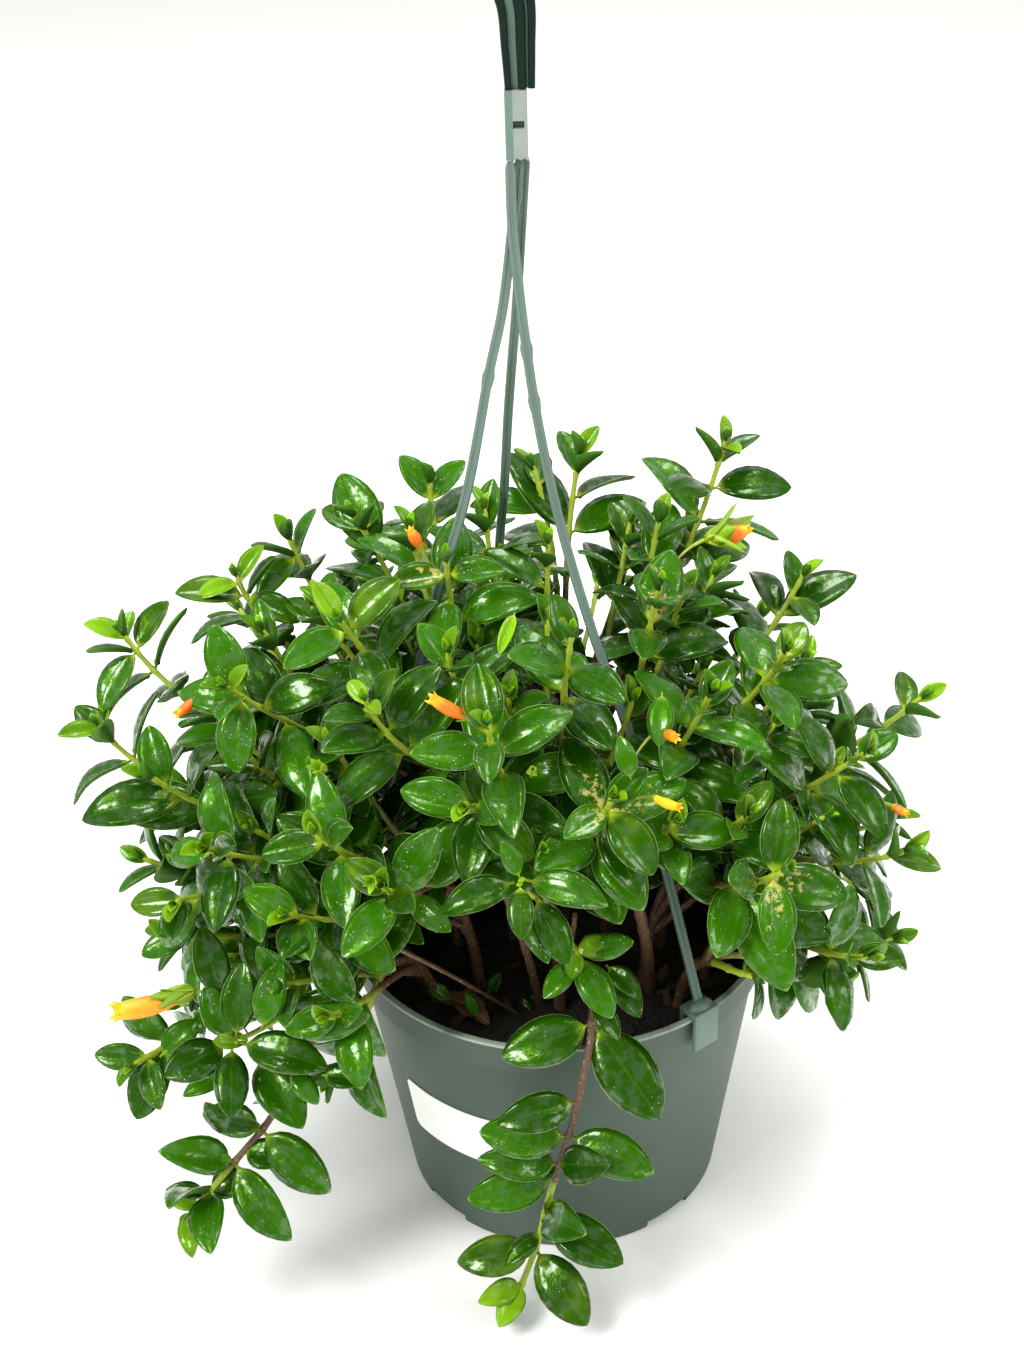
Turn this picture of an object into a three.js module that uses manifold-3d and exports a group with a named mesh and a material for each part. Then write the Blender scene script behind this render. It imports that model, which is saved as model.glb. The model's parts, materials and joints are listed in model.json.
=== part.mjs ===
// A goldfish plant in a hanging-basket pot, in millimetres, +Z up.
// The origin is the middle of the pot's foot, and the front of the plant faces -Y.
import * as THREE from 'three';
import { mergeVertices } from 'three/addons/utils/BufferGeometryUtils.js';
import Module from 'manifold-3d';

const wasm = await Module();
wasm.setup();

const POT = {
  height: 113.3,
  footRadius: 60.5,
  wallTopRadius: 75,
  bandFootRadius: 77.2,
  topRadius: 79,
  bandHeight: 13.8,
  lipHeight: 1.6,
  wall: 2.4,
  floor: 3,
  sides: 36,
  notches: 4,
  notchTurn: -139,
  notchSize: [20, 9, 3],
};
const LABEL = { width: 54, height: 25, thick: 0.3, low: 44, turn: -122, gap: 0.45, columns: 10 };
const SOIL = {
  top: 98,
  gap: 0.4,
  bump: 1.6,
  sides: 22,
  rings: [48],
  holeGap: 2.3,
  holeSides: 4,
  bury: 12,
};
const BARK = { count: 7, size: [10, 6, 4], spread: 62, room: 9, seed: 5 };

// The three strands, from the clip on the rim up to the head.
const STRAND = { width: 3.2, thick: 2, steps: 12, flatFrom: 0.8 };
const CLIP = {
  width: 11,
  thick: 2,
  low: 96,
  legLow: 105,
  gap: 0.4,
  legInset: 1.9,
  cap: 2.4,
  clearTurn: 0.16,
};
const STRAND_ROUTES = {
  front: [[48.9, -60, 115], [39, -48, 158], [26, -31, 209], [14, -17, 242], [3.5, -6, 279],
    [-3.5, -3.6, 318], [-6.9, -3.1, 348], [-8.3, -2.9, 364], [-9.4, -2.8, 380], [-9.5, -2.7, 400]],
  left: [[-76.2, -13.4, 115], [-54, -10, 197], [-38, -7, 255], [-27, -5, 291], [-18, -3, 333],
    [-13.6, -1, 351], [-11.3, -0.2, 365], [-9.3, 0, 380], [-6.7, 0, 400]],
  back: [[-20, 74.8, 115], [-20, 62, 180], [-18.6, 47, 241], [-15.8, 36, 270.6], [-13.2, 24, 305.5],
    [-10.9, 14, 330.8], [-9, 8, 350], [-7.1, 3.6, 373.4], [-4.9, 2.7, 400]],
};
// The head gathers the strands: a short shank, then a flat hook that widens as it rises.
const HEAD = {
  shankX: -7.3,
  shankLow: 400.3,
  shankTop: 421.5,
  shankWidth: 6.8,
  shankDepth: 8,
  shankTaper: 0.85,
  hookRoute: [[-5.9, 421.8], [-6.1, 434], [-6.6, 447]],
  hookEye: [3, 462],
  hookRadius: 14,
  hookTurn: [190, -20],
  hookPoints: 9,
  hookWidths: [9.1, 11.6, 9, 6],
  hookDepth: 5,
  hookSteps: 14,
};

// The camera that took the photograph: millimetres, degrees and pixels.
const CAMERA = {
  place: [0, -617.6, 585.6],
  down: 31.04,
  turn: -1.34,
  roll: -1.98,
  focal: 2050,
  width: 1024,
  height: 1365,
};
// The rounded heap that the shoot tips reach.
const MOUND = { centre: [-15, 5, 150], radii: [150, 135, 125], lift: 0.55, hangBelow: 116 };

// Leaf pairs stand crosswise along a shoot. The first values belong to the pair at the tip.
const LEAF = {
  nodes: [3, 9, 19, 32, 47, 63, 80],
  lengths: [12, 19, 27, 31, 32, 32, 31],
  angles: [30, 48, 64, 74, 80, 84, 86],
  halfWidth: 0.235,
  shoulder: 0.38,
  waist: 0.72,
  waistWidth: 0.8,
  arch: 0.05,
  droop: 0.1,
  thick: 1.5,
  peak: 0.45,
  rootGap: 0.1,
  clear: 1.3,
  crossGap: 0.35,
};
const STEM = {
  trunk: [2.4, 1.8],
  branch: [1.6, 1.15],
  steps: 4,
  trailerSteps: 14,
  clear: 3.5,
  bends: [0, 10, -10, 18, -18, 26, -26],
};
// The pairs of leaves that are made here where none is marked in the photograph.
const COARSE_PAIRS = { seen: [2], hidden: [1, 2] };

// Each shoot seen in the photograph: its tip, a point lower on its stem (heel), how far out on
// the mound it reaches, and the tips of its leaves in pairs from the tip down, all in pixels.
const SHOOTS = [
  { tip: [122, 632], heel: [150, 672], reach: 1,
    pairs: [[[80, 625], [133, 612]], [[168, 600], [100, 715]]] },
  { tip: [98, 725], heel: [130, 765], reach: 1, pairs: [[[55, 738], [108, 700]], [[75, 706]]] },
  { tip: [236, 576], heel: [252, 612], reach: 1,
    pairs: [[[272, 537], [187, 605]], [[165, 592], [300, 622]]] },
  { tip: [288, 535], heel: [300, 566], reach: 1, pairs: [[], [[258, 600]]] },
  { tip: [226, 686], heel: [268, 716], reach: 1,
    pairs: [[[250, 665]], [[212, 622], [237, 775]], [[178, 688], [328, 683]], [[305, 793]]] },
  { tip: [338, 618], heel: [362, 650], reach: 1,
    pairs: [[[310, 577]], [[400, 578], [283, 668]], [[385, 705]]] },
  { tip: [352, 512], heel: [374, 545], reach: 1, pairs: [[], [[322, 508], [378, 500]], [[340, 472]]] },
  { tip: [430, 478], heel: [429, 515], reach: 1,
    pairs: [[], [[400, 455], [465, 460]], [], [[345, 533]]] },
  { tip: [446, 557], heel: [449, 600], reach: 1,
    pairs: [[], [[390, 583], [505, 570]], [[455, 515], [437, 665]], [[537, 590]]] },
  { tip: [365, 700], reach: 0.95, pairs: [[[350, 682], [382, 716]], [], [[438, 665], [325, 745]]] },
  { tip: [488, 724], reach: 1,
    pairs: [[], [[477, 662], [488, 783]], [[412, 750], [568, 708]], [[510, 822]]] },
  { tip: [572, 632], heel: [564, 690], reach: 1, pairs: [[], [], [[515, 652], [622, 695]]] },
  { tip: [580, 450], heel: [571, 500], reach: 1,
    pairs: [[[600, 427]], [], [], [[513, 447], [643, 495]], [[538, 560]]] },
  { tip: [533, 465], heel: [545, 505], reach: 1,
    pairs: [[], [[540, 452]], [[470, 497]], [[502, 527]]] },
  { tip: [725, 440], heel: [712, 490], reach: 1,
    pairs: [[[741, 455]], [], [[792, 480], [673, 482]], [[650, 450]], [[752, 537], [657, 522]],
      [[612, 510]]] },
  { tip: [660, 585], reach: 0.97,
    pairs: [[], [[645, 570], [690, 583]], [[672, 548], [645, 652]], [[728, 632]], [[653, 698]]] },
  { tip: [803, 575], heel: [775, 630], reach: 1, pairs: [[], [[815, 625]], [[855, 570], [755, 562]]] },
  { tip: [787, 650], heel: [762, 690], reach: 1,
    pairs: [[], [[805, 622]], [[745, 622], [850, 680]], [[750, 750]], [[685, 718], [818, 750]]] },
  { tip: [922, 697], heel: [885, 728], reach: 1, pairs: [[[947, 685]], [[903, 671]], [[865, 715]]] },
  { tip: [868, 752], heel: [835, 772], reach: 1,
    pairs: [[], [[898, 733]], [[803, 718], [885, 835]], [[765, 750], [858, 858]], [[803, 820]]] },
  { tip: [787, 870], reach: 0.95,
    pairs: [[], [[783, 795], [778, 972]], [[737, 878], [851, 897]], [[720, 953], [785, 990]],
      [[687, 877], [880, 953]]] },
  { tip: [675, 822], reach: 0.8, pairs: [[], [[737, 833], [645, 850]]] },
  { tip: [612, 797], reach: 0.9,
    pairs: [[], [[564, 838], [655, 877]], [[567, 735], [685, 775]], [[540, 865], [643, 905]],
      [[620, 917]]] },
  { tip: [520, 882], reach: 0.62,
    pairs: [[], [[503, 842], [521, 937]], [[443, 908], [605, 900]], [[565, 960]], [[550, 955]]] },
  { tip: [578, 952], reach: 0.5,
    pairs: [[], [[605, 940], [563, 973]], [[632, 940], [548, 997]], [[607, 1015], [645, 995]]] },
  { tip: [465, 806], heel: [495, 808], reach: 0.85,
    pairs: [[], [[400, 790], [535, 860]], [[463, 880]]] },
  { tip: [315, 833], reach: 0.92,
    pairs: [[], [[352, 828], [261, 855]], [[345, 925]], [[378, 875]], [[427, 850]]] },
  { tip: [203, 848], heel: [228, 856], reach: 1, pairs: [[[215, 832]], [[170, 855]], [[212, 928]]] },
  { tip: [287, 914], reach: 0.9, pairs: [[], [[243, 890], [310, 960]], [[285, 952]]] },
  { tip: [175, 903], heel: [195, 893], reach: 1, pairs: [[], [[130, 905], [172, 940]], [[160, 950]]] },
  { tip: [148, 775], reach: 1, pairs: [[], [[148, 725], [165, 797]], [[78, 812]], [[110, 802]]] },
  { tip: [232, 1042], reach: 0.95,
    pairs: [[], [[207, 987], [230, 1117]], [[168, 1080], [325, 1068]], [[240, 962], [298, 1125]],
      [[277, 963], [318, 1103]], [[367, 1012]]] },
  { tip: [133, 1065], heel: [158, 1053], reach: 0.95,
    pairs: [[], [[94, 1055], [160, 1110]], [[122, 1003], [135, 1120]], [[198, 1020]]] },
  { tip: [330, 1080], reach: 0.8, pairs: [[], [[363, 1078]], [[376, 1120]]] },
];

// The two stems that trail over the rim, from the soil out, and their leaves in pixels.
const TRAILERS = [
  { name: 'trailing_stem_front',
    route: [[12, -34, 87], [12, -34.2, 99], [13, -46, 116], [11.5, -66, 126], [10, -83, 121],
      [7, -88, 108], [3, -89, 88], [-1.3, -88.5, 70.9], [-5.9, -88, 51.7], [-10.4, -89, 30.5],
      [-15, -91, 17], [-18, -92, 8]],
    nodes: [6, 22, 39, 57, 64, 78, 94, 124],
    pairs: [[[500, 1325], [481, 1300]], [[458, 1260], [586, 1325]], [[576, 1233], [620, 1266]],
      [[469, 1202]], [[484, 1160], [603, 1165]], [[480, 1135], [654, 1170]], [[500, 1121]],
      [[503, 1058], [662, 1121]]] },
  { name: 'trailing_stem_left',
    route: [[-48, -30, 87], [-48.3, -30.2, 99], [-56, -35, 117], [-71, -43, 125], [-82, -54, 117],
      [-92, -66, 98], [-104, -76, 81], [-116, -83, 69], [-128, -88, 56], [-134, -90, 50]],
    nodes: [4, 12, 26, 41, 57],
    pairs: [[[188, 1252]], [[166, 1198], [205, 1248]], [[168, 1150], [285, 1242]],
      [[204, 1110], [328, 1193]], [[258, 1095]]] },
];

// Where the blooms sit: their foot and mouth in pixels, reach on the mound, belly and true length.
const BLOOMS = [
  { foot: [190, 992], mouth: [125, 998], reach: 0.98, belly: 4.4, length: 25 },
  { foot: [470, 718], mouth: [427, 705], reach: 0.93, belly: 3.4, length: 17 },
  { foot: [711, 538], mouth: [747, 546], reach: 1, belly: 4.8, length: 15 },
  { foot: [421, 548], mouth: [407, 538], reach: 0.96, belly: 3, length: 12 },
  { foot: [197, 698], mouth: [195, 724], reach: 0.97, belly: 2.8, length: 12 },
  { foot: [664, 731], mouth: [668, 750], reach: 0.9, belly: 3, length: 12 },
  { foot: [655, 798], mouth: [676, 812], reach: 0.88, belly: 2.8, length: 11 },
  { foot: [891, 806], mouth: [900, 820], reach: 0.96, belly: 2.6, length: 10 },
];
const BLOOM = {
  sides: 6,
  rings: 4,
  footRadius: 1.5,
  mouthRadius: 1.9,
  sag: 0.1,
  gap: 0.35,
  lobes: 5,
  lobeLength: 9,
  lobeBack: 1.8,
  lobesFrom: 14,
  pedicel: 0.85,
  stalkLeast: 8,
  seats: [0.4, 0.5, 0.6, 0.7, 0.8, 0.9],
};

// Shoots that the photograph doesn't show apart are set by rule over the rest of the mound.
const FILL = {
  count: 190,
  seed: 11,
  spacing: 38,
  low: 52,
  lowReach: 106,
  frontLow: 172,
  frontHalf: 40,
  reach: [0.84, 1],
  jitter: 9,
};
// Main stems stand in three rings on the soil. A shoot joins the ring that its height calls for.
const RINGS = [
  { upTo: 20, radius: 57, sectors: 10, fork: [73, 126] },
  { upTo: 48, radius: 38, sectors: 8, fork: [50, 150] },
  { upTo: 91, radius: 17, sectors: 4, fork: [24, 168] },
];
const RING_EYE = 105;

const COLOURS = {
  pot: '#4d6156',
  label: '#f4f4f2',
  soil: '#17130f',
  deadLeaf: '#8a5a2c',
  strand: '#7b9a89',
  shank: '#b9c4bf',
  hook: '#21402f',
  foliage: '#2c7316',
  bloom: '#e8641a',
};

const UP = new THREE.Vector3(0, 0, 1);
const vec = (values) => new THREE.Vector3(...values);
const radians = THREE.MathUtils.degToRad;
const mix = THREE.MathUtils.lerp;

// A seeded random number from 0 to 1, the same on every run.
function randomSource(seed) {
  let state = seed;
  return () => {
    state = (state + 0x6d2b79f5) | 0;
    let bits = Math.imul(state ^ (state >>> 15), 1 | state);
    bits = (bits + Math.imul(bits ^ (bits >>> 7), 61 | bits)) ^ bits;
    return ((bits ^ (bits >>> 14)) >>> 0) / 4294967296;
  };
}

// Geometry and solids.

function solidOf(geometry) {
  const bare = geometry.clone();
  bare.deleteAttribute('normal');
  bare.deleteAttribute('uv');
  const merged = mergeVertices(bare, 1e-4);
  const corners = merged.index.array;
  const faces = [];
  for (let i = 0; i < corners.length; i += 3) {
    const face = [corners[i], corners[i + 1], corners[i + 2]];
    if (new Set(face).size === 3) {
      faces.push(...face);
    }
  }
  return new wasm.Manifold(new wasm.Mesh({
    numProp: 3,
    vertProperties: new Float32Array(merged.attributes.position.array),
    triVerts: new Uint32Array(faces),
  }));
}

function geometryOf(solid) {
  const mesh = solid.getMesh();
  const geometry = new THREE.BufferGeometry();
  const corners = new Float32Array(mesh.vertProperties);
  geometry.setAttribute('position', new THREE.BufferAttribute(corners, 3));
  geometry.setIndex(new THREE.BufferAttribute(new Uint32Array(mesh.triVerts), 1));
  geometry.computeVertexNormals();
  return geometry;
}

// Moves every vertex of a geometry to where place(x, y, z) says.
function shaped(geometry, place) {
  const spots = geometry.attributes.position;
  for (let i = 0; i < spots.count; i += 1) {
    const spot = place(spots.getX(i), spots.getY(i), spots.getZ(i));
    spots.setXYZ(i, spot.x, spot.y, spot.z);
  }
  return geometry;
}

function polygon(sides) {
  const corners = [];
  for (let i = 0; i < sides; i += 1) {
    const angle = (2 * Math.PI * i) / sides;
    corners.push(new THREE.Vector2(Math.cos(angle), Math.sin(angle)));
  }
  return new THREE.Shape(corners);
}

// A section swept along a curve: size(s) scales it, and hint(s) says which way it lies.
function swept(section, curve, steps, hint, size) {
  const prism = new THREE.ExtrudeGeometry(section, { depth: 1, steps, bevelEnabled: false });
  return shaped(prism, (x, y, s) => {
    const heading = curve.getTangentAt(s);
    const side = new THREE.Vector3().crossVectors(heading, hint(s)).normalize();
    const rise = new THREE.Vector3().crossVectors(heading, side);
    return curve.getPointAt(s).addScaledVector(side, x * size(s)).addScaledVector(rise, y * size(s));
  });
}

function outwardAt(point) {
  return new THREE.Vector3(point.x, point.y, 0).normalize();
}

function ringHint(point) {
  return new THREE.Vector3(-point.y, point.x, 0).normalize();
}

function tube(curve, steps, sides, radii) {
  const hint = ringHint(curve.getPointAt(0.6));
  return solidOf(swept(polygon(sides), curve, steps, () => hint, (s) => mix(radii[0], radii[1], s)));
}

// The photograph's camera.

const view = (() => {
  const down = radians(CAMERA.down);
  const turn = radians(CAMERA.turn);
  const roll = radians(CAMERA.roll);
  const ahead = Math.cos(down);
  const forward = vec([Math.sin(turn) * ahead, Math.cos(turn) * ahead, -Math.sin(down)]);
  const level = new THREE.Vector3().crossVectors(forward, UP).normalize();
  const above = new THREE.Vector3().crossVectors(level, forward);
  const right = level.clone().multiplyScalar(Math.cos(roll)).addScaledVector(above, Math.sin(roll));
  const top = above.clone().multiplyScalar(Math.cos(roll)).addScaledVector(level, -Math.sin(roll));
  return { eye: vec(CAMERA.place), forward, right, top };
})();

function sightLine(pixel) {
  return view.forward.clone()
    .addScaledVector(view.right, (pixel[0] - CAMERA.width / 2) / CAMERA.focal)
    .addScaledVector(view.top, (CAMERA.height / 2 - pixel[1]) / CAMERA.focal);
}

// Where a pixel's line of sight meets the mound, or passes nearest to it.
function onMound(pixel, reach) {
  const radii = vec(MOUND.radii).multiplyScalar(reach);
  const line = sightLine(pixel);
  const start = view.eye.clone().sub(vec(MOUND.centre)).divide(radii);
  const step = line.clone().divide(radii);
  const a = step.dot(step);
  const b = start.dot(step);
  const room = b * b - a * (start.dot(start) - 1);
  const travel = (-b - Math.sqrt(Math.max(room, 0))) / a;
  return view.eye.clone().addScaledVector(line, travel);
}

function nearestOnLine(pixel, point) {
  const line = sightLine(pixel);
  const travel = point.clone().sub(view.eye).dot(line) / line.dot(line);
  return view.eye.clone().addScaledVector(line, travel);
}

function moundNormal(point) {
  const radii = vec(MOUND.radii);
  return point.clone().sub(vec(MOUND.centre)).divide(radii).divide(radii).normalize();
}

function growthDirection(tip) {
  return moundNormal(tip).addScaledVector(UP, MOUND.lift).normalize();
}

// Low shoots have tipped over the rim and hang.
function hangingDirection(tip) {
  return outwardAt(tip).multiplyScalar(0.45).addScaledVector(UP, -0.9).normalize();
}

// Shoots: tips, directions and stems.

function photoShoot(row) {
  const tip = onMound(row.tip, row.reach);
  let heading = growthDirection(tip);
  if (row.heel) {
    const back = tip.clone().addScaledVector(heading, -LEAF.nodes[3]);
    heading = tip.clone().sub(nearestOnLine(row.heel, back)).normalize();
  }
  return { tip, heading, pairs: row.pairs, seen: true };
}

function fillShoots(taken) {
  const random = randomSource(FILL.seed);
  const golden = Math.PI * (3 - Math.sqrt(5));
  const made = [];
  for (let i = 0; i < FILL.count; i += 1) {
    const height = 1 - (2 * (i + 0.5)) / FILL.count;
    const round = Math.sqrt(1 - height * height);
    const reach = mix(FILL.reach[0], FILL.reach[1], random());
    const tip = vec([Math.cos(golden * i) * round, Math.sin(golden * i) * round, height])
      .multiply(vec(MOUND.radii)).multiplyScalar(reach).add(vec(MOUND.centre));
    tip.x += (random() - 0.5) * FILL.jitter;
    tip.y += (random() - 0.5) * FILL.jitter;
    tip.z += (random() - 0.5) * FILL.jitter;
    const spin = random() * Math.PI;
    const bearing = Math.abs(THREE.MathUtils.radToDeg(Math.atan2(tip.x, -tip.y)));
    const floor = bearing < FILL.frontHalf ? FILL.frontLow : FILL.low;
    const crowded = taken.concat(made).some((other) => other.tip.distanceTo(tip) < FILL.spacing);
    const tucked = tip.z < MOUND.hangBelow && Math.hypot(tip.x, tip.y) < FILL.lowReach;
    if (tip.z > floor && !crowded && !tucked) {
      const hangs = tip.z < MOUND.hangBelow;
      const heading = hangs ? hangingDirection(tip) : growthDirection(tip);
      made.push({ tip, heading, hangs, spin, pairs: [], seen: false });
    }
  }
  return made;
}

function bearingOf(point) {
  return Math.atan2(point.y, point.x);
}

// Shoots that share a ring and a sector share one main stem.
function gatherSprays(shoots) {
  const sprays = new Map();
  for (const shoot of shoots) {
    const flat = Math.hypot(shoot.tip.x, shoot.tip.y);
    const climb = THREE.MathUtils.radToDeg(Math.atan2(shoot.tip.z - RING_EYE, flat));
    const ring = RINGS.findIndex((entry) => climb < entry.upTo);
    const turn = (bearingOf(shoot.tip) + 2 * Math.PI + (Math.PI * ring) / 8) % (2 * Math.PI);
    const sector = Math.floor((turn / (2 * Math.PI)) * RINGS[ring].sectors);
    const key = ring * 100 + sector;
    if (!sprays.has(key)) {
      sprays.set(key, { ring, key, shoots: [] });
    }
    sprays.get(key).shoots.push(shoot);
  }
  return [...sprays.values()].sort((one, other) => one.key - other.key);
}

// Main stems rise beside the clips of the hanger, not under them.
function besideStrands(bearing) {
  let clear = bearing;
  for (const [foot] of Object.values(STRAND_ROUTES)) {
    const clip = bearingOf(vec(foot));
    const off = Math.atan2(Math.sin(bearing - clip), Math.cos(bearing - clip));
    if (Math.abs(off) < CLIP.clearTurn) {
      clear = clip + (off < 0 ? -1 : 1) * CLIP.clearTurn;
    }
  }
  return clear;
}

function addMainStem(spray) {
  const ring = RINGS[spray.ring];
  const middle = new THREE.Vector3();
  spray.shoots.forEach((shoot) => middle.addScaledVector(shoot.tip, 1 / spray.shoots.length));
  const bearing = besideStrands(bearingOf(middle));
  const spot = (radius, z) => vec([radius * Math.cos(bearing), radius * Math.sin(bearing), z]);
  const foot = spot(ring.radius, SOIL.top - SOIL.bury);
  const fork = spot(...ring.fork);
  const upright = new THREE.Vector3(foot.x, foot.y, SOIL.top + 18);
  const beforeFork = upright.clone().lerp(fork, 0.6).addScaledVector(UP, 3);
  spray.trunk = new THREE.CubicBezierCurve3(foot, upright, beforeFork, fork);
  spray.foot = foot;
}

function branchCurve(spray, shoot, order, bend) {
  const start = 1 - 0.12 * (order % 5);
  const from = spray.trunk.getPointAt(start);
  const gap = from.distanceTo(shoot.tip);
  const straight = shoot.tip.clone().sub(from).normalize();
  const leaving = spray.trunk.getTangentAt(start).lerp(straight, 0.8).normalize();
  const sideways = new THREE.Vector3().crossVectors(straight, UP).normalize();
  const first = from.clone().addScaledVector(leaving, gap * 0.34).addScaledVector(sideways, bend);
  const reach = shoot.hangs ? Math.min(gap * 0.6, 45) : Math.min(gap * 0.42, 52);
  const second = shoot.tip.clone().addScaledVector(shoot.heading, -reach);
  if (shoot.tip.z < POT.height + 20) {
    first.z = Math.max(first.z, POT.height + 26);
  }
  return new THREE.CubicBezierCurve3(from, first, second, shoot.tip);
}

function passes(curve, obstacles) {
  return curve.getPoints(30).every((point) => {
    return obstacles.every((other) => other.distanceTo(point) > STEM.clear);
  });
}

// The branch takes the first bend that passes the strands with room to spare.
function addBranch(spray, shoot, order, strandPoints) {
  const curves = STEM.bends.map((bend) => branchCurve(spray, shoot, order, bend));
  shoot.stem = curves.find((curve) => passes(curve, strandPoints)) ?? curves[0];
}

function trailerShoot(row) {
  const curve = new THREE.CatmullRomCurve3(row.route.map(vec), false, 'centripetal');
  return {
    tip: curve.getPointAt(1),
    heading: curve.getTangentAt(1),
    stem: curve,
    nodes: row.nodes,
    pairs: row.pairs,
    seen: true,
    hangs: true,
    trailing: true,
  };
}

// Leaves.

function halfWidthAt(u) {
  if (u < LEAF.shoulder) {
    return u / LEAF.shoulder;
  }
  if (u < LEAF.waist) {
    return mix(1, LEAF.waistWidth, (u - LEAF.shoulder) / (LEAF.waist - LEAF.shoulder));
  }
  return (LEAF.waistWidth * (1 - u)) / (1 - LEAF.waist);
}

function bowAt(u) {
  return LEAF.arch * Math.sin(Math.PI * u) - LEAF.droop * u * u;
}

function leafPoint(leaf, u, v, lift) {
  return leaf.root.clone()
    .addScaledVector(leaf.along, leaf.length * u)
    .addScaledVector(leaf.across, leaf.length * LEAF.halfWidth * v)
    .addScaledVector(leaf.up, leaf.length * bowAt(u) + lift);
}

function makeLeaf(node, along, axis, length, roll) {
  const root = node.clone().addScaledVector(along, LEAF.rootGap);
  const up = axis.clone().addScaledVector(along, -axis.dot(along)).normalize();
  const across = new THREE.Vector3().crossVectors(up, along);
  const turnedUp = up.clone().multiplyScalar(Math.cos(roll)).addScaledVector(across, Math.sin(roll));
  const turnedAcross = new THREE.Vector3().crossVectors(turnedUp, along);
  return { node, root, along, across: turnedAcross, up: turnedUp, length };
}

// The leaf from a stem node whose tip lies on a pixel's line of sight.
function leafToPixel(spot, length, pixel, roll) {
  const { root, axis, face } = spot;
  const line = sightLine(pixel);
  const start = view.eye.clone().sub(root);
  const a = line.dot(line);
  const b = start.dot(line);
  const nearest = nearestOnLine(pixel, root).distanceTo(root);
  const size = Math.min(Math.max(length, nearest * 1.01), length * 1.35);
  const room = Math.max(b * b - a * (start.dot(start) - size * size), 0);
  const endAt = (side) => start.clone().addScaledVector(line, (-b + side * Math.sqrt(room)) / a);
  const ends = [-1, 1].map(endAt);
  const wanted = 0.3 * size;
  if (!spot.hangs) {
    ends.sort((one, other) => Math.abs(one.dot(axis) - wanted) - Math.abs(other.dot(axis) - wanted));
  }
  return makeLeaf(root, ends[0].normalize(), face, size, roll);
}

function leafByRule(spot, zero, pair, turn, lift, roll) {
  const { root, axis, face } = spot;
  const quarter = new THREE.Vector3().crossVectors(axis, zero);
  const angle = turn + (pair % 2) * (spot.hangs ? radians(38) : Math.PI / 2);
  const out = zero.clone().multiplyScalar(Math.cos(angle)).addScaledVector(quarter, Math.sin(angle));
  const open = radians(LEAF.angles[pair] + lift);
  const along = axis.clone().multiplyScalar(Math.cos(open)).addScaledVector(out, Math.sin(open));
  return makeLeaf(root, along, face, LEAF.lengths[pair], roll);
}

const SAMPLES = [0.18, 0.38, 0.58, 0.78, 1].flatMap((u) => [[u, -0.75], [u, 0], [u, 0.75]]);
const samplesOf = (leaf) => SAMPLES.map(([u, v]) => leafPoint(leaf, u, v * halfWidthAt(u), 0));

// How far a point stands over a leaf's face, or null where it is beside the leaf.
function heightOver(leaf, point) {
  const local = point.clone().sub(leaf.root);
  const u = local.dot(leaf.along) / leaf.length;
  if (u < 0.05 || u > 1.04) {
    return null;
  }
  const beside = Math.abs(local.dot(leaf.across)) / (leaf.length * LEAF.halfWidth);
  if (beside > halfWidthAt(Math.min(u, 1)) + 0.12) {
    return null;
  }
  return local.dot(leaf.up) - leaf.length * bowAt(u);
}

function leavesMeet(one, other) {
  const pierces = (host, guest) => {
    const heights = guest.samples.map((point) => heightOver(host, point))
      .filter((value) => value !== null);
    const close = heights.some((value) => Math.abs(value) < LEAF.clear);
    return close || (heights.some((value) => value > 0) && heights.some((value) => value < 0));
  };
  return pierces(one, other) || pierces(other, one);
}

// True where a point is in the pot, in the soil or under the floor.
function inPot(point, room) {
  const flat = Math.hypot(point.x, point.y);
  if (point.z < room) {
    return true;
  }
  if (point.z > POT.height + room) {
    return false;
  }
  const outer = mix(POT.footRadius, POT.topRadius, point.z / POT.height) + room + 1;
  const inner = POT.wallTopRadius - POT.wall - room;
  return flat < outer && (flat > inner || point.z < SOIL.top + room + SOIL.bump);
}

class Thicket {
  constructor() {
    this.leaves = [];
    this.sticks = [];
  }

  // A stick is a row of points with a radius, such as a stem or a strand.
  addStick(points, radius, owner) {
    points.forEach((point) => this.sticks.push({ point, radius, owner }));
  }

  clashes(leaf) {
    leaf.samples = samplesOf(leaf);
    if (leaf.samples.some((point) => inPot(point, 1))) {
      return true;
    }
    const middle = leafPoint(leaf, 0.5, 0, 0);
    for (const { point, radius } of this.sticks) {
      if (point.distanceTo(middle) < leaf.length * 0.62 && point.distanceTo(leaf.root) > 6) {
        const height = heightOver(leaf, point);
        if (height !== null && Math.abs(height) < LEAF.clear + radius) {
          return true;
        }
      }
    }
    return this.leaves.some((other) => {
      const far = middle.distanceTo(other.middle) > (leaf.length + other.length) * 0.56;
      return !far && leavesMeet(leaf, other);
    });
  }

  addLeaf(leaf) {
    leaf.middle = leafPoint(leaf, 0.5, 0, 0);
    this.leaves.push(leaf);
  }
}

const TRY_LIFTS = [0, -13, 12, -24, 22];
const TRY_ROLLS = [0, 16, -16, 30, -30];

function placeSeenLeaf(thicket, spot, length, pixel, pair) {
  const tries = TRY_ROLLS.map((roll) => leafToPixel(spot, length, pixel, radians(roll)));
  const leaf = tries.find((candidate) => !thicket.clashes(candidate)) ?? tries[0];
  leaf.samples = samplesOf(leaf);
  return { ...leaf, pair, share: spot.share, seen: true };
}

function placeRuleLeaf(thicket, spot, zero, pair, turn) {
  for (const lift of TRY_LIFTS) {
    for (const roll of TRY_ROLLS.slice(0, 3)) {
      const leaf = leafByRule(spot, zero, pair, turn, lift, radians(roll));
      if (!thicket.clashes(leaf)) {
        return { ...leaf, pair, share: spot.share, seen: false };
      }
    }
  }
  return null;
}

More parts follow.
